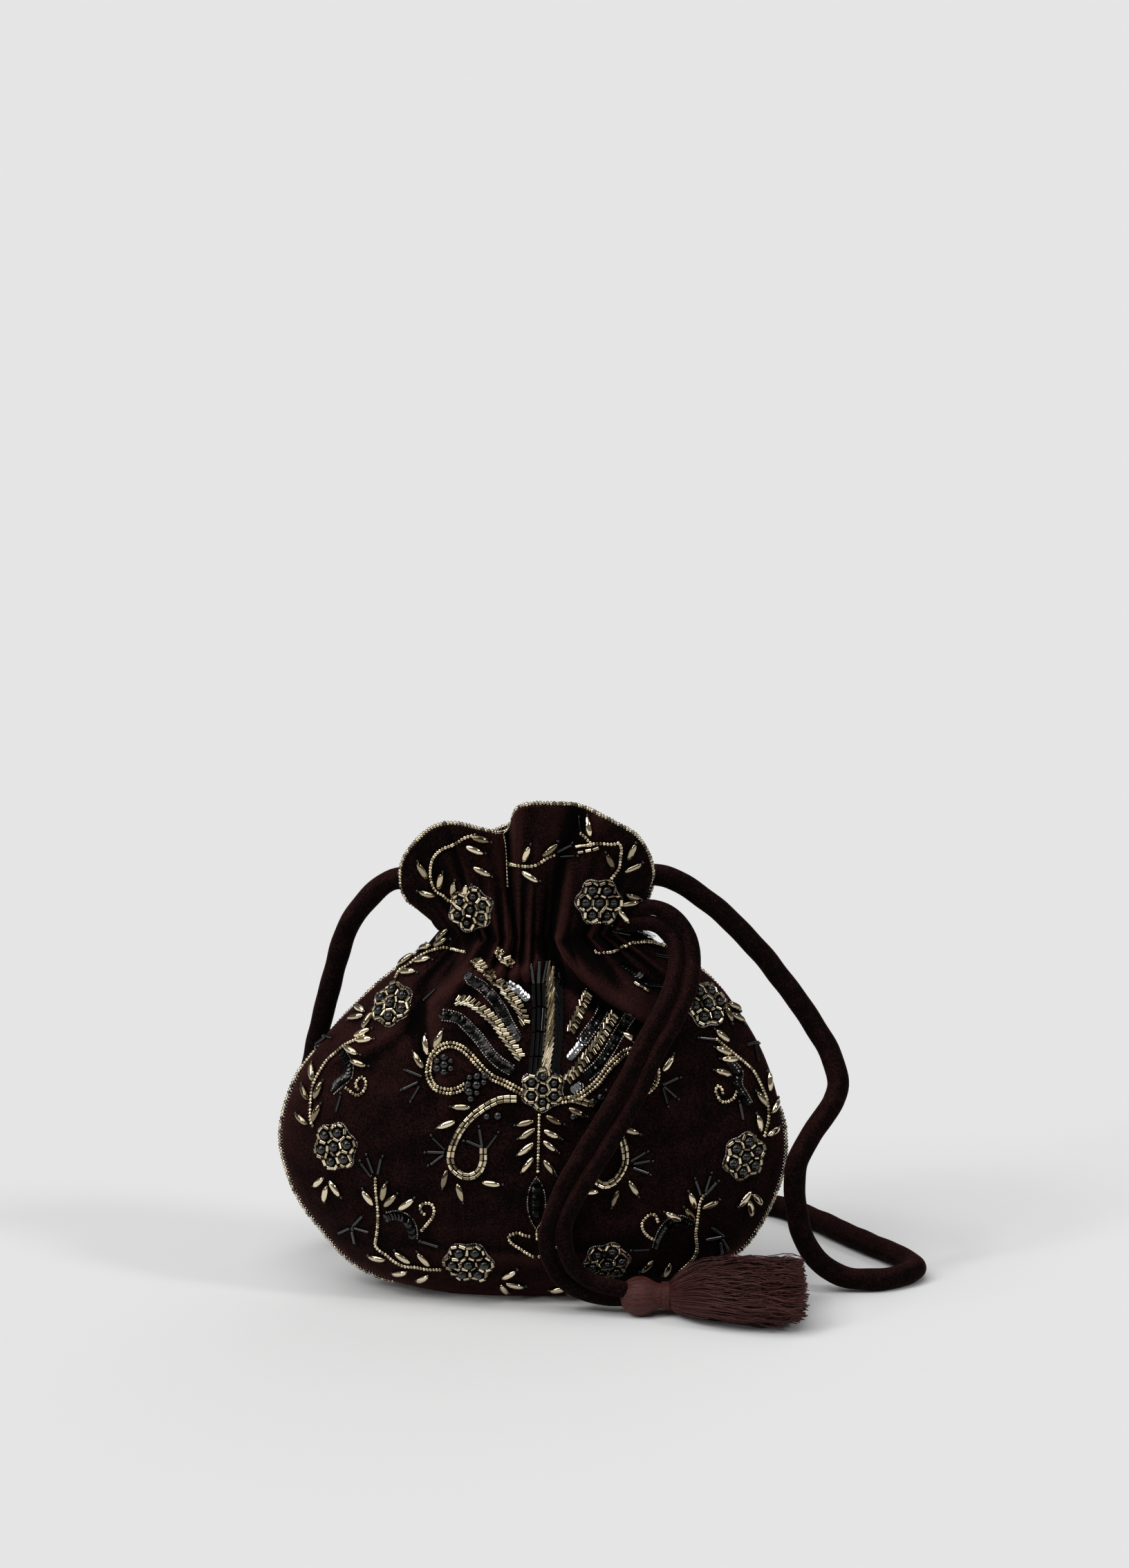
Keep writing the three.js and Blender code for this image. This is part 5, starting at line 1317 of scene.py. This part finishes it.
# The tassel lies along X on the floor
TASSEL_AT = np.array([43.3, -36.6, 8.1])
HEAD_RADIUS = 8
WAIST_RADIUS = 5
TASSEL_LENGTH = 76
SKIRT_HALF_WIDTH = 24.5
SKIRT_HALF_HEIGHT = 12.2
SKIRT_DRIFT = 5
SKIRT_FROM = 11.5
# Its threads, the locks that they fall in, the share of them that strays, and the turns of its waist
THREADS = 1900
LOCKS = 46
LOOSE_SHARE = 0.07
THREAD_STEPS = 15
WINDINGS = 6

# The head from its pole to the waist: place and radius
HEAD = [
    (-8, 0.6), (-7.5, 2.9), (-6.6, 4.7), (-5, 6.3), (-2.6, 7.6), (0, HEAD_RADIUS), (2.4, 7.7),
    (4.6, 6.7), (6.4, 5.6), (8, 5.0), (10, 4.8), (12, 4.8),
]

# The skirt from the waist to its ends: place, then half width, half height, height of the middle and
# drift to the front as shares of its sizes
SKIRT = np.array([
    (0.00, 0.19, 0.43, 0.68, 0.00),
    (0.10, 0.42, 0.72, 0.76, 0.08),
    (0.28, 0.76, 0.95, 0.96, 0.35),
    (0.65, 0.97, 1.00, 1.00, 0.80),
    (1.00, 1.00, 0.96, 0.96, 1.00),
])
WIDE, TALL, MIDDLE, DRIFT = 1, 2, 3, 4


def tassel_head():
    """A ball of floss drawn over a core: shallow grooves from pole to waist."""
    sides = 96
    rings = even_steps(smooth_line(HEAD, 6), 0.8)
    points = []
    for place, radius in rings:
        for side in range(sides):
            angle = 2 * math.pi * side / sides
            groove = 1 + 0.016 * math.sin(angle * 24 + place * 0.3) + 0.01 * math.sin(angle * 37)
            reach = radius * groove
            points.append(TASSEL_AT + (place, reach * math.cos(angle), reach * math.sin(angle)))
    count = len(rings)
    faces = [(r * sides + s, (r + 1) * sides + s, (r + 1) * sides + (s + 1) % sides,
              r * sides + (s + 1) % sides) for r in range(count - 1) for s in range(sides)]
    faces.append(tuple(range(sides)))
    faces.append(tuple((count - 1) * sides + s for s in range(sides))[::-1])
    return new_piece("tassel_ball", points, faces, [FLOSS], nodes=["tassel_head"])


def strand(points, line, radius, sides):
    """Add a thin closed tube along a line to a list of points, and give its faces."""
    start = len(points)
    ahead = unit(np.gradient(line, axis=0))
    above = unit(np.cross(ahead, np.array([0.0, 1.0, 0.2])))
    aside = np.cross(above, ahead)
    for point, a, b in zip(line, aside, above):
        for side in range(sides):
            angle = 2 * math.pi * side / sides
            points.append(point + radius * (math.cos(angle) * a + math.sin(angle) * b))
    faces = []
    for ring in range(len(line) - 1):
        for side in range(sides):
            a = start + ring * sides + side
            b = start + ring * sides + (side + 1) % sides
            faces.append((a, b, b + sides, a + sides))
    last = start + (len(line) - 1) * sides
    faces.append(tuple(start + side for side in range(sides))[::-1])
    faces.append(tuple(last + side for side in range(sides)))
    return faces


def tassel_binding():
    """Floss wound round the waist."""
    points = []
    faces = []
    for turn in range(WINDINGS):
        angle = np.linspace(0, 2 * math.pi * 0.985, 40)
        reach = WAIST_RADIUS + 0.55
        line = np.stack([9.2 + turn * 0.52 + 0.05 * np.sin(angle * 2), reach * np.cos(angle + turn),
                         reach * np.sin(angle + turn)], axis=1) + TASSEL_AT
        faces += strand(points, line, 0.36, 6)
    return new_piece("tassel_winding", points, faces, [FLOSS], nodes=["tassel_binding"])


def tassel_skirt():
    """Loose floss in wavy locks that spreads from the waist, lies on the floor and ends unevenly."""
    points = []
    faces = []
    t = np.linspace(0, 1, THREAD_STEPS)
    locks = rng.uniform(0, 2 * math.pi, (LOCKS, 4))
    full = TASSEL_LENGTH - HEAD_RADIUS - SKIRT_FROM
    wide, tall, middle, drift = (value_at(SKIRT, column, t) for column in (WIDE, TALL, MIDDLE, DRIFT))
    for _ in range(THREADS):
        lock = locks[rng.integers(len(locks))]
        around = lock[0] + rng.normal(0, 0.15)
        loose = rng.uniform(0, 1) < LOOSE_SHARE
        reach = 0.97 * rng.uniform(0, 1)**0.42 * (1.05 if loose else 1)
        length = full * (0.86 + 0.11 * rng.uniform(0, 1) + 0.03 * math.sin(3 * lock[0]))
        stray = 2.2 if loose else 1
        pace = 5 + 3 * lock[3] / math.pi
        kink = 0.5 * np.sin(17 * t + rng.uniform(0, 6))
        wave = stray * (1.1 * np.sin(pace * t + lock[1]) + kink) * t**0.7
        kink = 0.5 * np.sin(19 * t + rng.uniform(0, 6))
        sway = stray * (1.0 * np.sin(pace * t + lock[2]) + kink) * t**0.7
        y = TASSEL_AT[1] - SKIRT_DRIFT * drift + wave
        y = y + SKIRT_HALF_WIDTH * wide * reach * math.cos(around)
        z = SKIRT_HALF_HEIGHT * (middle + 0.94 * tall * reach * math.sin(around)) + sway
        frizz = rng.normal(0, 0.16, (3, len(t))) * t
        x = TASSEL_AT[0] + SKIRT_FROM + length * t + frizz[0]
        line = np.stack([x, y + frizz[1], np.maximum(z + frizz[2], 0.4)], axis=1)
        faces += strand(points, line, rng.uniform(0.16, 0.34), 3)
    return new_piece("tassel_threads", points, faces, [FLOSS], nodes=["tassel_skirt"])


tassel = [tassel_head(), tassel_binding(), tassel_skirt()]


# The studio

# Half the width of the paper, in metres, so that its edge shows in no view
PAPER_HALF = 80


def paper_floor():
    """Pale matt paper that runs on past every edge of the picture."""
    material, shader = new_material("studio_paper")
    set_shader(shader, Base_Color=colour("#e6e6e6"), Roughness=1.0, Specular_IOR_Level=0.0)
    mesh = bpy.data.meshes.new("studio_floor")
    corners = [(-PAPER_HALF, -PAPER_HALF, 0), (PAPER_HALF, -PAPER_HALF, 0),
               (PAPER_HALF, PAPER_HALF, 0), (-PAPER_HALF, PAPER_HALF, 0)]
    mesh.from_pydata(corners, [], [(0, 1, 2, 3)])
    mesh.materials.append(material)
    floor = bpy.data.objects.new("studio_floor", mesh)
    bpy.context.scene.collection.objects.link(floor)


def soft_sun(name, toward, strength, spread):
    """An even light from one side, as wide as a softbox seen from the bag."""
    lamp = bpy.data.lights.new(name, "SUN")
    lamp.energy = strength
    lamp.angle = math.radians(spread)
    holder = bpy.data.objects.new(name, lamp)
    holder.rotation_euler = Vector(toward).to_track_quat("Z", "Y").to_euler()
    bpy.context.scene.collection.objects.link(holder)


FOCAL_LENGTH = 111.75


def studio_camera():
    """The camera looks from the same eye that the embroidery is drawn from."""
    camera = bpy.data.cameras.new("studio_camera")
    camera.lens = FOCAL_LENGTH
    camera.sensor_fit = "VERTICAL"
    camera.sensor_height = 36
    camera.clip_end = 50
    holder = bpy.data.objects.new("studio_camera", camera)
    right = Vector((1, 0, 0))
    turn = Matrix((right, SIGHT_UP, -SIGHT_AHEAD)).transposed()
    holder.matrix_world = Matrix.Translation(EYE * MM) @ turn.to_4x4()
    bpy.context.scene.collection.objects.link(holder)
    bpy.context.scene.camera = holder


paper_floor()
soft_sun("top_light", toward=(-0.3, -0.35, 1.0), strength=1.9, spread=64)
soft_sun("back_light", toward=(0.5, 1.0, 1.3), strength=0.28, spread=50)
# The key light is a tall strip, as three suns one over another
for part, rise in enumerate((0.49, 0.92, 1.56)):
    soft_sun("key_light_%d" % part, toward=(-1.0, -0.7, rise), strength=0.26, spread=8)
soft_sun("fill_light", toward=(1.0, -0.5, 0.9), strength=0.5, spread=9)
world = bpy.data.worlds.new("studio_air")
world.use_nodes = True
air = world.node_tree.nodes["Background"]
air.inputs["Color"].default_value = colour("#ffffff")
air.inputs["Strength"].default_value = 0.13
bpy.context.scene.world = world
bpy.context.scene.view_settings.view_transform = "Standard"
studio_camera()
